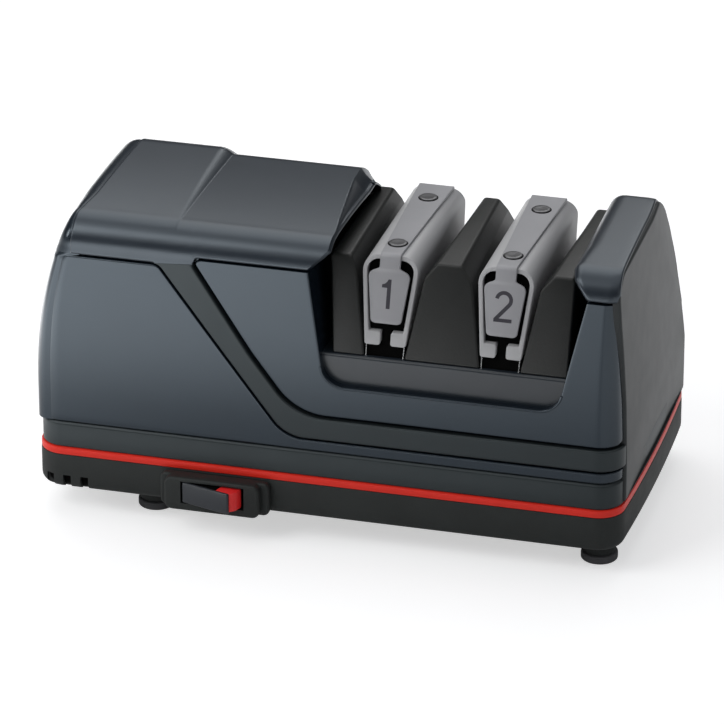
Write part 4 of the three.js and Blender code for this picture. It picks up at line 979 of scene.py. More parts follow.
    def _roof(self, lip: Array) -> tuple[Array, Array, Array, Array]:
        """Rows of the roof's section from a front lip, whose height may change, to the rear lip.

        The rows lie close together at both lips, and where the front lip is higher they start
        further along the one section and draw together over its first 60 mm.

        Args:
            lip: Height of the front lip, one number or one for each row and column.

        Returns:
            Points (y, z) and their outward normals, and how far each row lies from the front and rear lips.
        """
        fine = FORM.profile(self.relief.hood_lip, 0.0, self.relief.saddle_floor, 2000)
        tangent = np.gradient(fine, axis=0)
        tangent /= np.linalg.norm(tangent, axis=1, keepdims=True)
        along = np.concatenate([[0], np.cumsum(np.linalg.norm(np.diff(fine, axis=0), axis=1))])
        near = np.array([0, 0.06, 0.16, 0.3, 0.46, 0.64, 0.84, 1.1, 1.6])
        want = np.concatenate([near, np.linspace(2.3, along[-1] - 2.3, 150), along[-1] - near[::-1]])
        rise = np.interp(lip, fine[:300, 1], along[:300])
        shape = (-1,) + (1,) * (np.ndim(lip) - 1)
        at = want.reshape(shape) + rise * np.clip(1 - want / 60, 0, 1).reshape(shape)
        pick = [np.interp(at, along, v) for v in (*fine.T, -tangent[:, 1], tangent[:, 0])]
        return np.stack(pick[:2], -1), np.stack(pick[2:], -1), want, along[-1] - want

    def _hood_end(self, y: Array) -> Array:
        """X of the hood's left edge, which moves in by steps from the front wall to the ridge.

        Args:
            y: Places across the roof.

        Returns:
            The edge's X at each place.
        """
        r = self.relief
        return np.interp(y, [-50, -42, -30, -14, FORM.ridge_place], [
            r.hood_left, r.hood_left + 0.5, r.hood_left_top, r.hood_left_top + 1.1, r.hood_left_top + 2.6])

    def _ramp(self, y: Array, behind: Array) -> Array:
        """The raised part's share of its height, which grows to the ridge and fades at the rear lip."""
        return np.clip((y + 47) / (FORM.ridge_place + 47), 0, 1) ** 0.8 * np.clip(behind / 60, 0, 1)

    def _rim(self, border: Array, radius: Array) -> Array:
        """How far a face falls by a quarter circle of a radius near its border."""
        near = np.clip(radius - border, 0, radius)
        return radius - np.sqrt(np.maximum(0, radius**2 - near**2))

    def left_hood(self) -> bpy.types.Object:
        """The roof cover from the left end to the saddle, with its raised left part.

        Each row of the section is lifted by the raised part's share, whose step falls by a curve
        to a sharp foot. Beside the saddle a hollow falls to a narrow land, and all borders fall by
        a small quarter circle.
        """
        r = self.relief
        section, _, ahead, behind = self._roof(np.array(r.lip))
        y, z = section.T
        edge = r.saddle_side(0.0, True)[::-1]
        right = np.interp(z, edge[:, 1], edge[:, 0])[:, None]
        close = np.array([0, 0.06, 0.16, 0.3, 0.46, 0.64, 0.84, 1.1, 1.3, 1.6, 2.0, 2.4, 2.8, 3.2, 3.6, 4.0,
                          4.4, 4.7, 5.0, 5.2, 5.6, 6.4])
        end = self._hood_end(y)[:, None]
        share = np.linspace(0, 1, 45)[1:]
        x = np.concatenate([
            right - close, right - close[-1] + (-45.5 - right + close[-1]) * share,
            np.broadcast_to(-45.5 - 8.5 * np.linspace(0, 1, 41)[1:], (z.size, 40)),
            -54.0 + (end + 1.6 + 54.0) * share, end + np.array([1.1, 0.84, 0.64, 0.46, 0.3, 0.16, 0.06, 0.0]),
        ], 1)
        lip = r.lip_line()
        points, normal, _, _ = self._roof(np.interp(x, lip[:, 0], lip[:, 1]))
        ramp = self._ramp(points[..., 0], behind[:, None])
        foot = r.step + 1.6 + (r.step_foot - r.step - 1.6) * ramp
        side = np.clip((foot - x) / (foot - r.step - 1.2 * (1 - ramp)), 0, 1)
        rise = r.hood_rise * ramp * (1 - (1 - side) ** 1.5)
        width = r.scallop_width * (np.clip((y + 46) / 46, 0.16, 1) * np.clip(behind / 40, 0.16, 1))[:, None]
        land = np.minimum(r.scallop_land, width * 0.5)
        over = np.clip((x - right + width) / (width - land), 0, 1)
        scallop = r.scallop_drop * (width / r.scallop_width) ** 1.3 * (1 - (1 - over) ** 1.35)
        plain = (x > lip[0, 0] + 0.5) & (x < lip[1, 0])
        border = np.minimum(np.where(plain, 9.0, ahead[:, None]), behind[:, None])
        fall = self._rim(np.minimum(np.minimum(border, right - x), x - end), r.rim)
        out = (rise - scallop - fall)[..., None]
        return self._cover("left_hood", np.concatenate([x[..., None], points + normal * out], -1))

    def left_cover(self) -> bpy.types.Object:
        """The cover of the left end: a pillow over the body's outline with a large round rim.

        At each point of the outline the rim is a quarter of an ellipse, inwards by one radius and
        towards the end by another, and the face then follows the leaning, crowned end.
        """
        r = self.relief
        points, normal, _, behind = self._roof(np.array(r.hood_lip))
        roof = points + normal * (r.hood_rise * self._ramp(points[:, 0], behind) - 0.35)[:, None]
        z = np.linspace(r.crease + 0.25, r.hood_lip, 40)[:-1]
        front = np.stack([FORM.front(z) + r.panel_drop + 0.08 * FORM.radius(z), z], -1)
        back = np.linspace(r.saddle_floor, r.crease + 0.25, 24)[1:]
        rear = np.stack([FORM.rear(back) - r.panel_drop - 0.15, back], -1)
        near = FORM.radius(z) * (1 - math.sin(r.panel_arc)) - 0.25
        across = self._hood_end(roof[:, 0]) - 0.6 - FORM.left(roof[:, 1])
        far = across[-1] + (FORM.radius(back) - across[-1]) * np.linspace(0, 1, back.size) ** 0.5
        width = np.interp(roof[:, 0], [-24, FORM.ridge_place], [r.rim_front, r.rim_rear])[:, None]
        face = [front + np.array([r.rim_front, 0]), roof - normal * width, rear - np.array([r.rim_rear, 0])]
        base = [np.linspace(a[-1], b[0], 40)[1:-1] for a, b in ((rear, front), (face[2], face[0]))]
        loop = np.vstack([front, roof, rear, base[0]])[::-1]
        face = np.vstack([*face, base[1] + np.array([0, 0.5])])[::-1]
        reach = np.concatenate([near, across, far, np.linspace(far[-1], near[0], 40)[1:-1]])[::-1]
        rings = [(loop, reach + 2.5)]
        for angle in np.linspace(0, math.pi / 2, 12):
            rings.append((loop + (face - loop) * (1 - math.cos(angle)), reach * (1 - math.sin(angle))))
        middle = np.array([0.0, 66.0])
        for share in (0.08, 0.2, 0.35, 0.5, 0.65, 0.8, 0.92):
            rings.append((face + (middle - face) * share, np.zeros(len(loop))))
        shell = []
        for line, inwards in rings:
            y, z = line.T
            x = FORM.left(z) + FORM.crown * (y / (FORM.depth / 2)) ** 2 + inwards
            shell.append(np.stack([x, y, z], -1))
        return tube_piece("left_end_cover", np.stack(shell), 50.0)

    def _cover(self, name: str, points: Array) -> bpy.types.Object:
        """Gives a roof cover's face, of shape (rows, cols, 3), its thickness and closes it."""
        rows, cols = points.shape[:2]
        piece = mesh_piece(name, points, grid_quads(rows, cols)[:, ::-1], 40.0, closed=False)
        modified(piece, "WELD", merge_threshold=1e-6)
        modified(piece, "SOLIDIFY", thickness=1.8 * MM, offset=-1.0, use_rim=True)
        soften(piece.data, 40.0)
        return piece

    def _rear_lean(self, y: Array, z: Array) -> Array:
        """How much further the right end leans in towards its upper rear corner."""
        return np.interp(z, [45, 55, 75, 96], [0.0, 0.7, 1.7, 2.9]) * np.clip((y + 6) / 40, 0, 1) ** 1.5

    def tower_hood(self) -> bpy.types.Object:
        """The roof cover over the thin right tower: a large round left edge and small round lips.

        Near the right end each point is drawn in as the form's upright corners are.
        """
        r = self.relief
        points, normal, ahead, behind = self._roof(np.array(r.lip))
        y, z = points.T
        edge = r.saddle_side(0.0, False)[::-1]
        left = (np.interp(z, edge[:, 1], edge[:, 0]) - np.clip(ahead / 14, 0, 1) * 2.4)[:, None]
        inset = 1.0 + 0.7 * np.clip(1 - ahead / 3, 0, 1) + 1.15 * self._rear_lean(y, z)
        right = (FORM.right(z) - inset)[:, None]
        near = np.array([0, 0.06, 0.16, 0.3, 0.46, 0.64, 0.84, 1.1, 1.6, 2.4])
        wide = np.array([0, 0.1, 0.25, 0.45, 0.7, 1.0, 1.4, 1.9, 2.5, 3.2, 4.0, 5.0])
        share = np.linspace(0, 1, 12)[1:-1]
        x = np.concatenate([right - near, right - 2.4 + (left - right + 7.4) * share, left + wide[::-1]], 1)
        large = (np.interp(ahead, [0, 10, 30], [1.6, 2.6, 5.0]) * np.clip(behind / 30, 0.3, 1))[:, None]
        fall = self._rim(x - left, large) + self._rim(right - x, 0.6)
        fall = fall + self._rim(np.minimum(ahead, behind)[:, None], 1.0)
        corner = FORM.radius(z)[:, None]
        past = np.clip((x - right - 1 + corner) / corner, 0, 0.9)
        draw = corner * (1 - np.sqrt(1 - past**2)) * np.abs(normal[:, :1]) * 0.8
        return self._cover("tower_hood", np.concatenate(
            [x[..., None], points[:, None] - normal[:, None] * (fall + draw)[..., None]], -1))

    def bead(self) -> bpy.types.Object:
        """The thin bead round the saddle's window: a round section carried along its edge."""
        r = self.relief
        left, right = r.saddle_side(0.55, True), r.saddle_side(0.55, False)[::-1]
        path = even(np.vstack([left[left[:, 1] < r.lip - 1.2], right[right[:, 1] < r.lip - 1.2]]), 260)
        turn = np.linspace(0, 2 * math.pi, 14, endpoint=False)
        rings = []
        for angle in turn:
            moved = beside(path, -0.42 * math.cos(angle))
            rings.append(FORM.wrap(moved[:, 0], moved[:, 1], -r.panel_drop + 0.05 + 0.34 * math.sin(angle)))
        return tube_piece("window_bead", np.swapaxes(np.stack(rings), 0, 1), 60.0)

    def belt(self) -> bpy.types.Object:
        """The satin belt over the red stripe: a ring whose section is inset below the crease."""
        r = self.relief
        section = [(r.stripe_high, -3.0), (r.stripe_high, -r.belt_inset - 0.4),
                   (r.stripe_high + 0.4, -r.belt_inset), (r.crease - 1.1, -r.belt_inset),
                   (r.crease - 0.5, -r.belt_inset - 0.25), (r.crease, -r.belt_inset - 0.9), (r.crease, -3.0)]
        rings = np.stack([FORM.ring(z, g) for z, g in section])
        points = np.swapaxes(rings, 0, 1)
        count, around = points.shape[:2]
        return mesh_piece("lower_belt", points, grid_quads(count, around, True, True))

    def rear_panel(self) -> bpy.types.Object:
        """The plain strips across the back, between the crease and the hoods."""
        r = self.relief
        pieces = []
        for index, (low, high, drop) in enumerate([(r.crease + 0.2, r.rear_lip - r.gap, r.panel_drop),
                                                   (r.rear_lip, r.saddle_floor, 0.0)]):
            x = np.linspace(0.0, 1.0, 60)
            z = np.linspace(low, high, 12)
            border = np.minimum(z - low, high - z)
            rim = np.where(border < 0.6, -(0.6 - np.sqrt(np.maximum(0, 0.36 - (0.6 - border) ** 2))), 0)
            outer = FORM.point(x[:, None], 1.0, math.pi / 2, z[None], (rim - drop)[None])
            inner = FORM.point(x[:, None], 1.0, math.pi / 2, z[None], -2.6)
            pieces.append(tube_piece(f"rear_strip_{index}", np.concatenate([outer, inner[:, ::-1]], 1)))
        return joined("rear_panel", pieces)

    def end_cap(self) -> bpy.types.Object:
        """The flat panel let into the right end, following its lean, with a rounded rim."""
        r = self.relief

        def start(z: Array) -> Array:
            """Y of the panel's front edge, near the hood's lip at the top and past the corner below."""
            return FORM.front(z) + np.interp(z, [40, 60, 75, 90, 98, 104], [8.0, 6.6, 4.6, 2.2, 1.5, 1.2])

        roof = FORM.profile(60.0, -0.95, r.stripe_high + 0.6, 240)
        roof = roof[roof[:, 0] > start(roof[:, 1])]
        roof[:, 0] = np.minimum(roof[:, 0], FORM.rear(roof[:, 1]) - 0.6 * FORM.radius(roof[:, 1]) * np.clip(
            (100 - roof[:, 1]) / 30, 0, 1))
        z = np.linspace(r.stripe_high + 0.6, roof[0, 1], 60)[:-1]
        loop = even(np.vstack([np.stack([start(z), z], -1), roof]), 240, closed=True)[::-1]
        rings = []
        for outline, depth in pillow_rings(loop, 0.9, 2.6):
            y, z = outline.T
            x = FORM.right(z) - FORM.crown * (y / (FORM.depth / 2)) ** 2 + 0.15 - depth
            rings.append(np.stack([x - self._rear_lean(y, z), y, z], -1))
        return tube_piece("right_end_panel", np.stack(rings), 50.0)


# Base, switch and inlet


@dataclass(frozen=True)
class Base:
    """The matte tray with its vents, round feet and rubber pads, and the red stripe over it."""

    bottom: float = 9.6
    top: float = 22.0
    wall: float = 2.5
    edge: float = 3.0
    stripe_top: float = 24.6
    stripe_proud: float = -0.1
    stripe_depth: float = 4.5
    pad_radius: float = 6.1
    pad_height: float = 2.8
    post_radius: float = 5.4
    foot_left: float = -62.1
    foot_right: float = 89.1
    foot_side: float = 35.7
    screw_left: float = -84.0
    screw_right: float = 70.0
    screw_side: float = 43.0
    recess: float = 3.3
    vent_first: float = -94.0
    vent_pitch: float = 6.0
    vent_width: float = 2.7
    vent_top: float = 14.5
    vent_depth: float = 3.1
    slot_first: float = -11.0
    slot_pitch: float = 7.0
    slot_width: float = 3.0
    slot_length: float = 34.0

    def corners(self, left: float, right: float, side: float) -> dict[str, tuple[float, float]]:
        """The four corners' places by name."""
        return {"front_left": (left, -side), "front_right": (right, -side),
                "rear_right": (right, side), "rear_left": (left, side)}

    def build(self) -> None:
        """Builds the tray, its feet and the stripe."""
        dressed(self.tray(), MATTE, "housing", "base_tray")
        # Painted shade: a near-black ring behind the vents.
        dressed(self.vent_shade_ring(), SHADE_BLACK, "housing")
        dressed(self.stripe(), RED_TRIM, "housing", "stripe_trim")
        for corner, (x, y) in self.corners(self.foot_left, self.foot_right, self.foot_side).items():
            dressed(self.pad(corner, x, y), RUBBER, "housing", f"foot_pad_{corner}")

    def tray(self) -> bpy.types.Object:
        """A bowl of rings whose lower edge is a quarter circle, cut by vents, slots and recesses."""
        turn = np.linspace(0, math.pi / 2, 9)
        section = [(self.bottom + self.edge * (1 - math.cos(a)), -self.edge * (1 - math.sin(a)))
                   for a in turn]
        section += [(self.top - 0.45, 0.0), (self.top - 0.1, -0.15), (self.top, -0.5), (self.top, -self.wall),
                    (self.bottom + self.wall + self.edge, -self.wall),
                    (self.bottom + self.wall, -self.wall - self.edge)]
        tray = tube_piece("base_bowl", np.stack([FORM.ring(z, grow) for z, grow in section]))
        half = FORM.depth / 2
        tools = []
        for i in range(3):
            x = self.vent_first + i * self.vent_pitch
            across, up = (x - self.vent_width / 2, x + self.vent_width / 2), (0, self.vent_top)
            tools.append(slab(f"vent_front_{i}", across, (-half - 9, -half + self.vent_depth), up))
            tools.append(slab(f"vent_rear_{i}", across, (half - self.vent_depth, half + 9), up))
        for i in range(5):
            x = self.slot_first + i * self.slot_pitch
            side, end = self.slot_width / 2, self.slot_length / 2
            tools.append(slab(f"slot_{i}", (x - side, x + side), (-end, end),
                              (0, self.bottom + 2 * self.wall)))
        for name, (x, y) in self.corners(self.screw_left, self.screw_right, self.screw_side).items():
            tools.append(turned(f"recess_{name}", [(self.recess, 0), (self.recess, 14)], x, y, 32))
        tools.append(slab("switch_window", (-48.9, -23.3), (-60, -30), (11.85, 21.05)))
        inlet = INLET.stadium(INLET.recess + INLET.wall)
        tools.append(prism("inlet_window", inlet, half - 10, half + 9, Axis.Y))
        for tool in tools:
            cut_from(tray, tool)
        soften(tray.data, 35.0)
        posts = [turned(f"post_{name}", [(self.post_radius - 1, self.bottom + self.wall + 0.4),
                                         (self.post_radius, self.bottom + self.wall),
                                         (self.post_radius, self.pad_height + 0.35),
                                         (self.post_radius - 0.3, self.pad_height + 0.05)], x, y)
                 for name, (x, y) in self.corners(self.foot_left, self.foot_right, self.foot_side).items()]
        return joined("base_bowl", [tray, *posts])

    def vent_shade_ring(self) -> bpy.types.Object:
        """A thin near-black ring inside the bowl's lower edge at the left end, seen only in the vents:
        painted shade that makes them read deep.
        """
        section = [(10.0, -3.3), (10.8, -2.2), (12.0, -1.5), (14.8, -1.1), (14.8, -2.2), (12.6, -2.6),
                   (11.2, -3.3)]
        points = np.stack([FORM.ring(z, grow) for z, grow in section])
        lining = mesh_piece("vent_shade_ring", points, grid_quads(*points.shape[:2], True, True))
        cut_from(lining, slab("vent_shade_ring_end", (-76, 120), (-80, 80), (0, 30)))
        return lining

    def stripe(self) -> bpy.types.Object:
        """The stripe: a ring with a flat proud face and small round edges."""
        proud, low, high = self.stripe_proud, self.top, self.stripe_top
        section = [(low, -self.stripe_depth), (low, proud - 0.35), (low + 0.1, proud - 0.1),
                   (low + 0.35, proud), (high - 0.35, proud), (high - 0.1, proud - 0.1),
                   (high, proud - 0.35), (high, -self.stripe_depth)]
        points = np.stack([FORM.ring(z, grow) for z, grow in section])
        return mesh_piece("red_stripe", points, grid_quads(*points.shape[:2], True, True))

    def pad(self, corner: str, x: float, y: float) -> bpy.types.Object:
        """One rubber pad: a turned disc with round edges, on a short stem."""
        radius, height = self.pad_radius, self.pad_height
        return turned(f"rubber_pad_{corner}", [
            (radius - 0.7, 0.0), (radius - 0.3, 0.1), (radius - 0.08, 0.35), (radius, 0.7),
            (radius, height - 0.6), (radius - 0.1, height - 0.25), (radius - 0.4, height - 0.05),
            (radius - 0.8, height), (2.0, height), (2.0, height + 3.9)], x, y)


@dataclass(frozen=True)
class Switch:
    """The rocker switch: a stepped bezel, a black cap over a red end, both on one pivot."""

    place: float = -36.1
    height: float = 16.45
    bottom: float = 9.8
    top: float = 21.6
    plate: tuple[float, float] = (-52.6, -20.2)
    flange: tuple[float, float] = (-54.8, -17.6)
    face: float = -58.0
    flange_face: float = -55.0
    back: float = -52.15
    opening: float = 21.6
    opening_height: float = 7.9
    pivot: float = -54.2
    tilt_deg: float = 16.4
    reach: float = 6.55
    half: float = 8.8
    swing: float = 10.5
    thickness: float = 1.3
    tail: float = 3.4
    red_start: float = 3.4

    def build(self) -> None:
        """Builds the bezel and the rocker's three parts."""
        dressed(self.bezel(), MATTE, "housing", "switch_bezel")
        dressed(self.cap(), ROCKER_BLACK, "rocker", "rocker_cap")
        red, carrier = self.core()
        dressed(red, ROCKER_RED, "rocker", "rocker_core")
        # The carrier's near-black is painted shade for the switch's opening.
        dressed(carrier, SHADE_BLACK, "rocker")
        MATTE.on_node("switch_body")

    def bezel(self) -> bpy.types.Object:
        """The bezel: a rounded plate on a wider, lower flange, with the rocker's opening."""
        pieces = []
        for name, (left, right), face, radius, width in (
                ("bezel_plate", self.plate, self.face, 2.6, 1.0),
                ("bezel_flange", self.flange, self.flange_face, 2.2, 0.9)):
            corners = (left, self.bottom), (right, self.bottom), (right, self.top), (left, self.top)
            loop = fillet([(x, z, radius) for x, z in corners], 10)
            pieces.append(rounded(prism(name, loop, face, self.back, Axis.Y), width, 5))
        bezel, flange = pieces
        cut_from(bezel, flange, "UNION")
        half, high = self.opening / 2, self.opening_height / 2
        cut_from(bezel, slab("opening", (self.place - half, self.place + half),
                             (self.face - 5, self.back + 5), (self.height - high, self.height + high)))
        soften(bezel.data, 35.0)
        bezel.name = "bezel_frame"
        return bezel

    def _plan(self, points: Sequence[tuple[float, float]]) -> Array:
        """Points along and out of the rocker's face, turned to its rest tilt in plan."""
        angle = math.radians(self.tilt_deg)
        along, out = np.array(points, float).T
        return np.stack([self.place + along * math.cos(angle) - out * math.sin(angle),
                         self.pivot - along * math.sin(angle) - out * math.cos(angle)], -1)

    def cap(self) -> bpy.types.Object:
        """The black cap: a round edged slab that widens a little towards its back."""
        low = self.reach - self.thickness
        widen = (self.swing - self.half) / 2 * self.thickness / self.reach
        half = self.opening_height / 2 - 0.3
        loop = self._plan([(-self.half, self.reach), (self.half, self.reach), (self.half + widen, low),
                           (-self.half - widen, low)])
        return rounded(prism("rocker_face", loop, self.height - half, self.height + half, Axis.Z), 0.5, 4)

    def core(self) -> tuple[bpy.types.Object, bpy.types.Object]:
        """The red end of the rocker, and the carrier that fills the rest of it: a real dark part, painted
        near-black for the shade in the switch's opening.
        """
        angle = math.radians(self.tilt_deg)
        top = self.reach - self.thickness - 0.08
        side, high = self.swing * math.cos(angle), self.swing * math.sin(angle)
        half = self.opening_height / 2 - 0.6
        span = self.height - half, self.height + half
        red = prism("rocker_red_end", self._plan([
            (self.red_start, top), (self.half, top), (self.half + 0.7, (top + high) / 2), (side, high),
            (self.swing - 0.3, 0), (self.half, -self.tail / 2), (self.red_start, -self.tail * 0.8)
        ]), *span, Axis.Z)
        carrier = prism("rocker_carrier", self._plan([
            (-self.half, top), (self.red_start - 0.02, top), (self.red_start - 0.02, -self.tail * 0.8),
            (0, -self.tail), (-self.half, -self.tail / 2), (0.3 - self.swing, 0), (-side, high)
        ]), *span, Axis.Z)
        return rounded(red, 0.3), rounded(carrier, 0.2)


@dataclass(frozen=True)
class Inlet:
    """The two pin supply inlet in the rear wall of the base."""

    place: float = -70.0
    height: float = 16.7
    pitch: float = 8.6
    recess: float = 3.5
    wall: float = 1.2
    reach: float = 0.7
    flange: float = 1.4
    depth: float = 11.0
    pin_radius: float = 1.2
    pin_length: float = 9.0

    def stadium(self, radius: float, steps: int = 20) -> Array:
        """A long round outline round both pins, as (x, z) points."""
        turn = np.linspace(-math.pi / 2, math.pi / 2, steps)
        right = np.stack([self.pitch / 2 + radius * np.cos(turn), radius * np.sin(turn)], -1)
        return np.vstack([right, -right]) + np.array([self.place, self.height])

    def build(self) -> None:
        """Builds the socket and dresses both pins."""
        dressed(self.socket(), MATTE, "housing", "inlet_socket")
        for name, side in (("left", -1), ("right", 1)):
            dressed(self.pin(name, side), STEEL, "housing", f"inlet_pin_{name}")

    def socket(self) -> bpy.types.Object:
        """The socket's cup: rings from the recess floor over the flange and back outside it."""
        face = FORM.depth / 2 + 0.15 + self.flange
        floor = face - self.depth
        outer = self.recess + self.wall - 0.3
        wide = outer + self.reach
        section = [(self.recess - 0.4, floor), (self.recess, floor + 0.4), (self.recess, face - 0.3),
                   (self.recess + 0.3, face), (wide - 0.5, face), (wide - 0.15, face - 0.15),
                   (wide, face - 0.5), (wide, face - self.flange), (outer, face - self.flange),
                   (outer, floor - 1.2)]
        rings = []
        for radius, y in section:
            loop = self.stadium(radius)
            rings.append(np.stack([loop[:, 0], np.full(len(loop), y), loop[:, 1]], -1))
        return tube_piece("inlet_cup", np.stack(rings))

    def pin(self, name: str, side: int) -> bpy.types.Object:
        """One round pin with a domed tip."""
        tip = FORM.depth / 2 + 0.15 + self.flange - self.depth + self.pin_length
        turn = np.linspace(0, math.pi / 2, 6)[:-1]
        places = [(self.pin_radius, tip - self.pin_length - 2.0)]
        places += [(self.pin_radius * math.cos(a), tip - self.pin_radius * (1 - math.sin(a))) for a in turn]
        around = np.linspace(0, 2 * math.pi, 24, endpoint=False)
        rings = [np.stack([self.place + side * self.pitch / 2 + radius * np.cos(around), np.full(24, y),
                           self.height + radius * np.sin(around)], -1) for radius, y in places]
        return tube_piece(f"inlet_contact_{name}", np.stack(rings))


INLET = Inlet()


# Guides


@dataclass(frozen=True)
class Guides:
    """The saddle's bed, the three dark blocks and the two sprung arches with their plates."""

    centres: tuple[float, float] = (19.2, 57.5)
    bed_top: float = 68.0
    bed_low: float = 55.0
    bed_left: float = -4.9
    bed_right: float = 86.2
    bed_gap: float = 3.8
    front: float = -47.4
    arch_rear: float = 31.3
    block_rear: float = 38.8
    block_rear_top: float = 19.46
    lean: float = 0.3
    block_top: float = 99.2
    block_shoulder: float = 94.3
    foot_gap: float = 6.6
    shoulder_gap: float = 11.2
    top_gap: float = 15.2
    rear_top_gap: float = 16.6
    rear_shoulder_gap: float = 14.2
    left_block_gap: float = 13.4
    wall_left: float = 1.9
    wall_right: float = 80.0
    arch_foot: float = 72.0
    arch_top: float = 100.3
    half_foot: float = 6.8
    half_shoulder: float = 9.75
    wall: float = 1.5
    arch_round: float = 5.2
    hook: float = 1.7
    hook_top: float = 76.3
    plate: float = 0.9
    plate_gap: float = 0.4
    plate_rear: float = 20.5
    plate_front_half: float = 3.4
    plate_rear_half: float = 6.0
    tongue_bottom: float = 79.2
    tongue_shoulder: float = 94.9
    tongue_neck: float = 96.4
    tongue_half: float = 7.0
    tongue_half_low: float = 5.0
    digit_height: float = 88.6
    rivets: tuple[float, float] = (-29.8, 9.1)
    rivet_radius: float = 3.1
    spindle_y: float = -8.0
    spindle_z: float = 54.0
    shaft_room: float = 5.9
    disc_room: float = 18.2
    disc_half: float = 7.2

    def build(self) -> None:
        """Builds the bed, the blocks and both guides."""
        dressed(self.bed(), APRON, "housing", "guide_bed")
        for name, left, right in (("left", None, 0), ("middle", 0, 1), ("right", 1, None)):
            dressed(self.block(name, left, right), BLOCK, "housing", f"guide_block_{name}")
        # Painted shade: a near-black wall in the gap beside the left block.
        dressed(self.side_gap_shade(), SHADE_BLACK, "housing")
        for stage, x in enumerate(self.centres, 1):
            dressed(self.arch(stage, x), ARCH, "housing", f"guide_arch_{stage}")
            # The arch post: a real part, painted near-black for the shade inside the arch.
            dressed(self.core(stage, x), SHADE_BLACK, "housing", f"guide_core_{stage}")
            dressed(self.top_plate(stage, x), PLATE, "housing", f"guide_plate_{stage}")
            dressed(self.digit(stage, x), INK, "housing")
            dressed(self.leaves(stage, x), STEEL, "housing")
            for name, y in zip(("front", "rear"), self.rivets):
                dressed(self.rivet(stage, name, x, y), RIVET, "housing", f"guide_rivet_{stage}_{name}")
            # Painted shade: near-black rings round the rivet heads.
            dressed(self.rivet_shade_rings(stage, x), SHADE_BLACK, "housing")

    def face(self, z: Array, out: float = 0.0) -> Array:
        """Y of the guides' leaning front face at a height, and how far in front of it."""
        return self.front + self.lean * (np.asarray(z, float) - self.bed_top) - out

    def back(self, z: Array, out: float = 0.0) -> Array:
        """Y of the arches' leaning rear face at a height."""
        return self.arch_rear - self.lean * (np.asarray(z, float) - self.bed_top) + out

    def sweep(self, name: str, x: float) -> bpy.types.Object:
        """The round room that one stage's discs need, as a cutting tool."""
        turn = np.linspace(0, 2 * math.pi, 96, endpoint=False)
        loop = np.stack([self.spindle_y + self.disc_room * np.cos(turn),
                         self.spindle_z + self.disc_room * np.sin(turn)], -1)
        return prism(name, loop, x - self.disc_half, x + self.disc_half, Axis.X)

    def loft(self, name: str, loop: Array, front: Array, rear: Array) -> bpy.types.Object:
        """A solid over an (x, z) outline between a front and a rear Y of each of its points."""
        rings = [np.stack([loop[:, 0], y, loop[:, 1]], -1) for y in (front, rear)]
        return tube_piece(name, np.stack(rings))

    def bed(self) -> bpy.types.Object:
        """The bed: a slab of the form's section with a round front edge, cut for discs and shaft."""
        z = np.linspace(self.bed_low, self.bed_top, 12)
        front = np.array([(float(FORM.front(np.array(self.bed_low))) + self.bed_gap, self.bed_low, 0.0),
                          (float(FORM.front(np.array(self.bed_top))) + self.bed_gap, self.bed_top, 1.2)])
        rear = np.stack([FORM.rear(z) - self.bed_gap, z, np.zeros(z.size)], -1)[::-1]
        loop = fillet([tuple(p) for p in np.vstack([front, rear])], 8)
        bed = prism("bed_slab", loop, self.bed_left, self.bed_right, Axis.X)
        for index, x in enumerate(self.centres):
            cut_from(bed, slab(f"well_{index}", (x - self.disc_half, x + self.disc_half),
                               (self.spindle_y - 15, self.spindle_y + 15),
                               (self.bed_low - 5, self.bed_top + 5)))
        cut_from(bed, slab("shaft_way", (self.bed_left - 5, self.bed_right + 5),
                           (self.spindle_y - self.shaft_room, self.spindle_y + self.shaft_room),
                           (self.bed_low - 5, self.spindle_z + self.shaft_room)))
        soften(bed.data, 35.0)
        return bed

    def block(self, name: str, left: Optional[int], right: Optional[int]) -> bpy.types.Object:
        """A block between two guides or a guide and a wall, its edges rounded.

        Args:
            name: Which block it is.
            left: The guide on its left, or none beside the hood.
            right: The guide on its right, or none beside the tower.

        Returns:
            The block, cut clear of the discs.
        """
        heights = self.bed_top, self.block_shoulder, self.block_top
        rings = []
        for shoulder, top_gap, rear in ((self.shoulder_gap, self.top_gap, False),
                                        (self.rear_shoulder_gap, self.rear_top_gap, True)):
            if left is None:
                shoulder, top_gap = min(shoulder, 12.2), min(top_gap, self.left_block_gap + rear)
            gaps = self.foot_gap, shoulder, top_gap
            sides = []
            for guide, wall, sign in ((left, self.wall_left, 1), (right, self.wall_right, -1)):
                radii = (0.0, 2.5, 1.6) if guide is not None else (0.0, 0.0, 1.6)
                at = [wall if guide is None else self.centres[guide] + sign * gap for gap in gaps]
                if guide is None:
                    reaches = (0.0, -2.6, -3.4) if sign > 0 else (0.0, 0.01, 0.0)
                    at = [wall + sign * reach for reach in reaches]
                sides.append(list(zip(at, heights, radii)))
            loop = fillet(sides[0][::-1] + sides[1], 6)
            share = (loop[:, 1] - self.bed_top) / (self.block_top - self.bed_top)
            y = self.block_rear + (self.block_rear_top - self.block_rear) * share if rear else (
                self.face(loop[:, 1]) + 0.3)
            rings.append(np.stack([loop[:, 0], y, loop[:, 1]], -1))
        block = rounded(tube_piece(f"block_{name}", np.stack(rings)), 0.8, 4, 40.0)
        for index, x in enumerate(self.centres):
            if index in (left, right):
                cut_from(block, self.sweep(f"sweep_{index}", x))
        soften(block.data, 35.0)
        return block

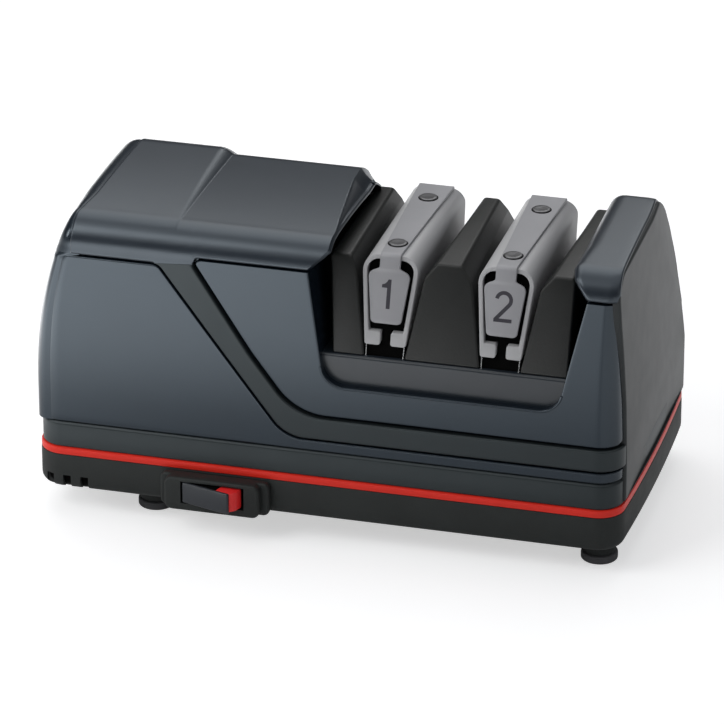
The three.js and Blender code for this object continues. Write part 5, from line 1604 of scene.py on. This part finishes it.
    def side_gap_shade(self) -> bpy.types.Object:
        """The near-black wall that closes the room between the saddle's left side and the left block, painted
        shade for that deep gap.
        """
        z = np.linspace(self.bed_top - 1, 95.0, 24)
        side = RELIEF.saddle_side(0.5, True)[::-1]
        heights = self.bed_top, self.block_shoulder, self.block_top
        flank = self.wall_left + np.interp(z, heights, [1.0, -1.6, -2.4])
        edge = np.interp(z, side[:, 1], side[:, 0])
        outline = np.vstack([np.stack([edge, z], -1), np.stack([flank, z], -1)[::-1]])
        return prism("side_gap_shade", outline, -30.0, 24.0, Axis.Y)

    def arch_inner(self, z: float) -> float:
        """Half the arch's inner width at a height of its straight legs."""
        share = (z - self.arch_foot) / (self.arch_top - self.arch_foot)
        return self.half_foot + (self.half_shoulder - self.half_foot) * share - self.wall

    def arch(self, stage: int, x: float) -> bpy.types.Object:
        """The sprung arch: a round shouldered band with a hook at each foot, carried between its faces."""
        low = self.hook_top
        half = [(self.hook, self.arch_foot, 0.8), (self.half_foot, self.arch_foot, 0.8),
                (self.half_shoulder, self.arch_top, self.arch_round)]
        within = [(self.arch_inner(self.arch_top - self.wall), self.arch_top - self.wall,
                   self.arch_round - self.wall), (self.arch_inner(low), low, 0.5), (self.hook, low, 0.8)]
        flip = [[(-a, z, r) for a, z, r in side[::-1]] for side in (half, within)]
        loop = fillet(half + flip[0] + flip[1] + within, 8) + np.array([x, 0.0])
        arch = self.loft(f"sprung_arch_{stage}", loop, self.face(loop[:, 1]), self.back(loop[:, 1]))
        return rounded(arch, 0.28, 3, 50.0)

    def core(self, stage: int, x: float) -> bpy.types.Object:
        """The post that the arch clips round, set back from both faces and clear of the discs: a real part
        whose near-black is painted shade for the hollow inside the arch.
        """
        low, gap = self.hook_top + 0.3, 0.3
        half = [(6.0, self.bed_top, 0.0), (6.0, self.arch_foot - gap, 0.0), (1.4, self.arch_foot - gap, 0.0),
                (1.4, low, 0.0), (self.arch_inner(low) - gap, low, 0.0),
                (self.arch_inner(self.arch_top - self.wall) - gap, self.arch_top - self.wall - gap,
                 self.arch_round - self.wall)]
        loop = fillet(half + [(-a, z, r) for a, z, r in half[::-1]], 6) + np.array([x, 0.0])
        core = self.loft(f"arch_post_{stage}", loop, self.face(loop[:, 1], -1.6), self.back(loop[:, 1], -1.6))
        cut_from(core, self.sweep("post_sweep", x))
        soften(core.data, 35.0)
        return core

    def top_plate(self, stage: int, x: float) -> bpy.types.Object:
        """The plate: one strip along the arch's top, bent over its front edge into the tongue.

        A round edged cross section is carried along the bent path, and its half width follows the
        deck's taper and then the tongue's outline.
        """
        out = self.plate_gap
        corner = float(self.face(self.arch_top, out))
        foot = float(self.face(self.tongue_bottom, out))
        path = fillet([(self.plate_rear, self.arch_top), (corner, self.arch_top, 0.9),
                       (foot, self.tongue_bottom)], 14, closed=False)
        deck = even(np.vstack([[self.plate_rear, self.arch_top], path[1]]), 30)
        fall = even(np.vstack([path[-2], path[-1]]), 110)
        path = np.vstack([deck[:-1], path[1:-1], fall[1:]])
        side = fillet([
            (self.plate_front_half, self.arch_top + 2), (self.plate_front_half, self.tongue_neck, 0.8),
            (self.tongue_half, self.tongue_shoulder, 2.2), (self.tongue_half_low, self.tongue_bottom, 1.4),
            (0.0, self.tongue_bottom)], 16, closed=False)
        keep = side[:, 0] >= 0
        tongue = np.interp(path[:, 1], side[keep][::-1, 1], side[keep][::-1, 0])
        taper = np.interp(path[:, 0], [corner, self.plate_rear],
                          [self.plate_front_half, self.plate_rear_half])
        half = np.where(path[:, 1] > self.arch_top - 1.5, np.maximum(taper, self.plate_front_half), tongue)
        half = np.maximum(half, 2.5)
        tangent = np.gradient(path, axis=0)
        tangent /= np.linalg.norm(tangent, axis=1, keepdims=True)
        normal = np.stack([tangent[:, 1], -tangent[:, 0]], -1)
        turn = np.linspace(0, math.pi / 2, 4)
        soft = 0.25
        right = [(0.0, 0.0)]
        right += [(-soft * (1 - math.cos(a)), self.plate - soft * (1 - math.sin(a))) for a in turn]
        across = np.array([(1, d, h) for d, h in right] + [(-1, -d, h) for d, h in right[::-1]])
        a = across[:, 0][None] * half[:, None] + across[:, 1][None]
        h = across[:, 2][None]
        points = np.stack([x + a, path[:, :1] + normal[:, :1] * h, path[:, 1:] + normal[:, 1:] * h], -1)
        return tube_piece(f"numbered_plate_{stage}", points, 40.0)

    def digit(self, stage: int, x: float) -> bpy.types.Object:
        """The stage's plain digit, a thin stroked prism on the tongue's face."""
        if stage == 1:
            shapes = [np.array([(-0.35, -4.7), (0.95, -4.7), (0.95, 4.9), (-0.05, 4.9), (-0.5, 4.05),
                                (-1.2, 3.4), (-2.1, 3.1), (-2.1, 2.1), (-0.35, 2.1)])]
        else:
            turn = np.radians(np.linspace(172, -41, 40))
            line = np.vstack([np.stack([2.35 * np.cos(turn), 2.3 + 2.35 * np.sin(turn)], -1),
                              np.linspace((1.75, 0.72), (-2.35, -4.0), 20)[1:]])
            shapes = [np.vstack([beside(line, 0.62), beside(line, -0.62)[::-1]]),
                      np.array([(-3.0, -4.9), (3.0, -4.9), (3.0, -3.7), (-3.0, -3.7)])]
        length = math.hypot(1.0, self.lean)
        up = np.array([0.0, self.lean, 1.0]) / length
        out = np.array([0.0, -1.0, self.lean]) / length
        face = float(self.face(self.digit_height, self.plate_gap + self.plate))
        centre = np.array([x, face, self.digit_height])
        pieces = []
        for index, loop in enumerate(shapes):
            flat = centre + loop[:, :1] * np.array([1.0, 0, 0]) + loop[:, 1:] * up
            rings = np.stack([flat - 0.2 * out, flat + 0.05 * out])
            pieces.append(tube_piece(f"stroke_{stage}_{index}", rings))
        return joined(f"digit_{stage}", pieces)

    def leaves(self, stage: int, x: float) -> bpy.types.Object:
        """Two thin steel leaves beside the post's foot, inside the arch's legs."""
        pieces = []
        for side in (-1, 1):
            loop = np.array([(6.0, 68.1), (6.3, 68.1), (6.8, 83.0), (6.5, 83.0)])
            loop = np.stack([x + side * loop[:, 0], loop[:, 1]], -1)
            front, rear = self.face(loop[:, 1], -0.7), self.face(loop[:, 1], -9.0)
            pieces.append(self.loft(f"leaf_{side}", loop, front, rear))
        return joined(f"steel_leaves_{stage}", pieces)

    def rivet(self, stage: int, name: str, x: float, y: float) -> bpy.types.Object:
        """A flat rivet head with a rounded edge and a shallow dish."""
        top = self.arch_top + self.plate
        radius = self.rivet_radius - 0.1
        return turned(f"rivet_head_{stage}_{name}", [
            (1.3, top - 6), (1.3, top - 0.2), (radius, top - 0.1), (radius, top + 0.2),
            (radius - 0.12, top + 0.42), (radius - 0.4, top + 0.52), (radius - 1.1, top + 0.5),
            (0.5, top + 0.42)], x, y)

    def rivet_shade_rings(self, stage: int, x: float) -> bpy.types.Object:
        """Near-black rings round both rivet heads: painted shade where the heads meet the plate."""
        top, radius = self.arch_top + self.plate, self.rivet_radius + 0.22
        section = [(radius, top - 0.3), (radius, top + 0.04), (radius - 0.12, top + 0.1),
                   (radius - 1.0, top + 0.1)]
        return joined(f"rivet_shade_rings_{stage}", [
            turned(f"rim_{stage}_{index}", section, x, y) for index, y in enumerate(self.rivets)])


class Drive:
    """The motor, spindle, discs and screws: CAD nodes whose shapes are right, given their finishes."""

    def build(self) -> None:
        """Dresses every inner node that stays showing."""
        sides = ("left", "right")
        steel = ["spindle_shaft", "motor_bracket_left", "motor_bracket_right", "motor_bolt_front",
                 "motor_bolt_rear"]
        steel += [f"disc_spring_{s}" for s in (1, 2)] + [f"drive_pin_{s}_{d}" for s in (1, 2) for d in sides]
        steel += [f"base_screw_{c}" for c in Base().corners(0, 0, 0)]
        finishes = {
            STEEL: steel,
            GRIT: [f"abrasive_disc_{s}_{d}" for s in (1, 2) for d in sides],
            LAMINATION: ["motor_stator", "motor_rotor"],
            COPPER: ["motor_coil"],
            BRONZE: ["spindle_bush", "motor_bearing_left", "motor_bearing_right"],
            MATTE: ["motor_fan"],
        }
        for finish, nodes in finishes.items():
            for node in nodes:
                finish.on_node(node)
            LOG.info("%s on %d inner nodes", finish.name, len(nodes))


# Studio


@dataclass(frozen=True)
class Studio:
    """The level camera fitted to the photograph, a white floor with a painted reflection patch, and soft
    light.
    """

    azimuth_deg: float = 15.226
    elevation_deg: float = 24.894
    focal_px: float = 5200.0
    frame_px: float = 724.0
    distance: float = 1732.82
    target: tuple[float, float, float] = (-0.946, 0.0, 43.174)
    sensor: float = 36.0
    floor_glow: float = 0.54
    sky: float = 0.30
    sky_rise: tuple[tuple[float, float], tuple[float, float]] = ((0.42, 0.10), (0.86, 0.95))
    # Painted reflection: the floor's glow to gloss alone along X, brightest at the front left, which puts a
    # highlight on the housing's front left corner.
    painted_reflection: tuple[tuple[float, float], ...] = (
        (-1.30, 0.1), (-0.60, 0.3), (-0.40, 0.9), (-0.30, 3.4), (-0.235, 3.4), (-0.19, 2.9),
        (-0.11, 2.4), (-0.03, 1.9), (0.035, 1.0), (0.08, 0.6), (0.12, 0.1))
    painted_reflection_reach: tuple[tuple[float, float], tuple[float, float]] = ((0.12, 0.08), (0.235, 1.0))
    rear_glow: float = 0.35
    floor_side: float = 6.0
    lamps: tuple[tuple[str, tuple[float, float, float], float, float], ...] = (
        ("key_lamp", (-420, -520, 620), 420, 1.9),
        ("left_strip", (-560, -260, 260), 160, 0.5),
        ("roof_lamp", (-160, 370, 800), 840, 2.6),
        ("ridge_lamp", (-27, 779, 550), 90, 0.12),
        ("right_fill", (560, -300, 260), 260, 0.10))

    def build(self) -> None:
        """Makes the camera, floor, world and lamps."""
        self.camera()
        self.floor()
        self.world()
        for name, place, size, power in self.lamps:
            self.lamp(name, np.array(place, float), size, power)

    def camera(self) -> None:
        """A level camera that looks at the sharpener from the photograph's side."""
        azimuth, elevation = math.radians(self.azimuth_deg), math.radians(self.elevation_deg)
        level = math.cos(elevation)
        ahead = np.array([-math.sin(azimuth) * level, math.cos(azimuth) * level, -math.sin(elevation)])
        place = PLACER.metres(np.array(self.target) - ahead * self.distance)
        data = bpy.data.cameras.new("camera")
        data.sensor_width = self.sensor
        data.lens = self.focal_px / self.frame_px * self.sensor
        data.clip_start, data.clip_end = 0.05, 20.0
        camera = bpy.data.objects.new("camera", data)
        camera.location = place
        camera.rotation_euler = (math.pi / 2 - elevation, 0.0, azimuth)
        bpy.context.scene.collection.objects.link(camera)
        bpy.context.scene.camera = camera

    def floor(self) -> None:
        """A white floor that keeps the sharpener's shadow and shows as white elsewhere, and gives gloss a
        painted reflection patch.
        """
        mesh = bpy.data.meshes.new("floor")
        side = self.floor_side
        mesh.from_pydata([(x * side, y * side, 0) for x, y in ((-1, -1), (1, -1), (1, 1), (-1, 1))],
                         [], [(0, 1, 2, 3)])
        floor = bpy.data.objects.new("floor", mesh)
        bpy.context.scene.collection.objects.link(floor)
        material = bpy.data.materials.new("floor_white")
        material.use_nodes = True
        tree = material.node_tree
        shader = tree.nodes["Principled BSDF"]
        shader.inputs["Base Color"].default_value = (0.84, 0.84, 0.84, 1)
        shader.inputs["Roughness"].default_value = 0.9
        shader.inputs["Specular IOR Level"].default_value = 0.0
        shader.inputs["Emission Color"].default_value = (1, 1, 1, 1)
        tree.links.new(self.floor_light(tree), shader.inputs["Emission Strength"])
        mesh.materials.append(material)

    def math_node(self, tree: bpy.types.NodeTree, operation: str,
                  *values: object) -> bpy.types.NodeSocket:
        """A Math node's result.

        Args:
            tree: The tree that the node goes into.
            operation: What it does.
            *values: Its inputs, each a socket or a number.

        Returns:
            Its output.
        """
        node = tree.nodes.new("ShaderNodeMath")
        node.operation = operation
        for socket, value in zip(node.inputs, values):
            if isinstance(value, (int, float)):
                socket.default_value = value
            else:
                tree.links.new(value, socket)
        return node.outputs[0]

    def span(self, tree: bpy.types.NodeTree, value: bpy.types.NodeSocket, low: tuple[float, float],
             high: tuple[float, float]) -> bpy.types.NodeSocket:
        """A value carried smoothly from one (input, output) pair to another.

        Args:
            tree: The tree that the node goes into.
            value: The input.
            low: Its lower end and what comes out there.
            high: Its upper end and what comes out there.

        Returns:
            The output.
        """
        node = tree.nodes.new("ShaderNodeMapRange")
        node.interpolation_type = "SMOOTHSTEP"
        tree.links.new(value, node.inputs["Value"])
        for name, number in zip(("From Min", "To Min", "From Max", "To Max"), (*low, *high)):
            node.inputs[name].default_value = number
        return node.outputs["Result"]

    def floor_light(self, tree: bpy.types.NodeTree) -> bpy.types.NodeSocket:
        """How much the floor glows to the camera, and to gloss alone in a patch at the front left.

        The patch is a painted reflection that lights the housing's front left corner. Its light is a ramp
        along X times a smooth step of the distance in front of the sharpener, to which a low even glow behind
        it is added.

        Args:
            tree: The floor material's tree.

        Returns:
            The strength of the floor's own light.
        """
        path = tree.nodes.new("ShaderNodeLightPath")
        seen = self.math_node(tree, "MAXIMUM", path.outputs["Is Camera Ray"],
                              path.outputs["Is Transmission Ray"])
        coords = tree.nodes.new("ShaderNodeTexCoord")
        parts = tree.nodes.new("ShaderNodeSeparateXYZ")
        tree.links.new(coords.outputs["Object"], parts.inputs[0])
        low, high = self.painted_reflection[0][0], self.painted_reflection[-1][0]
        most = max(value for _, value in self.painted_reflection)
        ramp = tree.nodes.new("ShaderNodeValToRGB")
        stops = ramp.color_ramp.elements
        for number, (place, value) in enumerate(self.painted_reflection):
            stop = stops[number] if number < 2 else stops.new(number / len(self.painted_reflection))
            stop.position = (place - low) / (high - low)
            stop.color = (value / most,) * 3 + (1.0,)
        along = self.math_node(tree, "SUBTRACT", parts.outputs["X"], low)
        tree.links.new(self.math_node(tree, "DIVIDE", along, high - low), ramp.inputs["Fac"])
        ahead = self.math_node(tree, "MULTIPLY", parts.outputs["Y"], -1.0)
        shrunk = self.math_node(tree, "MULTIPLY", parts.outputs["X"], 0.75)
        sides = [self.math_node(tree, "ABSOLUTE", shrunk), self.math_node(tree, "MAXIMUM", ahead, 0.0)]
        squares = [self.math_node(tree, "POWER", side, 2.0) for side in sides]
        away = self.math_node(tree, "SQRT", self.math_node(tree, "ADD", *squares))
        # The painted reflection patch, then the low even glow behind it added.
        painted_reflection = self.math_node(tree, "MULTIPLY", self.math_node(tree, "MULTIPLY", ramp.outputs["Color"], most),
                              self.span(tree, away, *self.painted_reflection_reach))
        painted_reflection = self.math_node(tree, "ADD", painted_reflection, self.span(tree, ahead, (-0.02, self.rear_glow), (0.03, 0.0)))
        return self.math_node(tree, "ADD", self.math_node(tree, "MULTIPLY", seen, self.floor_glow),
                              self.math_node(tree, "MULTIPLY", path.outputs["Is Glossy Ray"], painted_reflection))

    def bright_paths(self, tree: bpy.types.NodeTree) -> bpy.types.NodeSocket:
        """1 for camera, glossy and transmission rays, which see the second sky.

        Args:
            tree: The world's tree.

        Returns:
            The mix's factor.
        """
        path = tree.nodes.new("ShaderNodeLightPath")
        camera, *others = (path.outputs[f"Is {ray} Ray"] for ray in ("Camera", "Glossy", "Transmission"))
        return self.math_node(tree, "MAXIMUM", camera, self.math_node(tree, "MAXIMUM", *others))

    def world(self) -> None:
        """A soft even sky, which the camera sees as white and gloss as dark low and bright overhead."""
        world = bpy.data.worlds.new("studio")
        bpy.context.scene.world = world
        world.use_nodes = True
        tree = world.node_tree
        sky = tree.nodes["Background"]
        sky.inputs["Color"].default_value = (0.93, 0.95, 1.0, 1)
        sky.inputs["Strength"].default_value = self.sky
        seen = tree.nodes.new("ShaderNodeBackground")
        seen.inputs["Color"].default_value = (1, 1, 1, 1)
        coords = tree.nodes.new("ShaderNodeTexCoord")
        parts = tree.nodes.new("ShaderNodeSeparateXYZ")
        tree.links.new(coords.outputs["Generated"], parts.inputs[0])
        gloss = self.span(tree, parts.outputs["Z"], *self.sky_rise)
        path = tree.nodes.new("ShaderNodeLightPath")
        tree.links.new(self.math_node(tree, "MAXIMUM", gloss, path.outputs["Is Camera Ray"]),
                       seen.inputs["Strength"])
        mix = tree.nodes.new("ShaderNodeMixShader")
        tree.links.new(self.bright_paths(tree), mix.inputs["Fac"])
        tree.links.new(sky.outputs["Background"], mix.inputs[1])
        tree.links.new(seen.outputs["Background"], mix.inputs[2])
        tree.links.new(mix.outputs["Shader"], tree.nodes["World Output"].inputs["Surface"])

    def lamp(self, name: str, place: Array, size: float, power: float) -> None:
        """A square soft lamp aimed at the sharpener.

        Args:
            name: Its name.
            place: Where it hangs, in millimetres.
            size: Its side in millimetres.
            power: Its power in watts.
        """
        from mathutils import Vector

        data = bpy.data.lights.new(name, "AREA")
        data.size = size * MM
        data.energy = power
        lamp = bpy.data.objects.new(name, data)
        spot = Vector(PLACER.metres(place))
        aim = Vector(PLACER.metres(np.array(self.target)))
        lamp.location = spot
        lamp.rotation_euler = (aim - spot).to_track_quat("-Z", "Y").to_euler()
        bpy.context.scene.collection.objects.link(lamp)


def main() -> None:
    """Builds the whole dressed sharpener, sub-assembly by sub-assembly."""
    logging.basicConfig(level=logging.INFO, format="%(name)s %(message)s")
    bpy.context.scene.view_settings.view_transform = "Standard"
    Studio().build()
    Housing().build()
    Base().build()
    Switch().build()
    INLET.build()
    Guides().build()
    Drive().build()


if __name__ == "__main__":
    main()
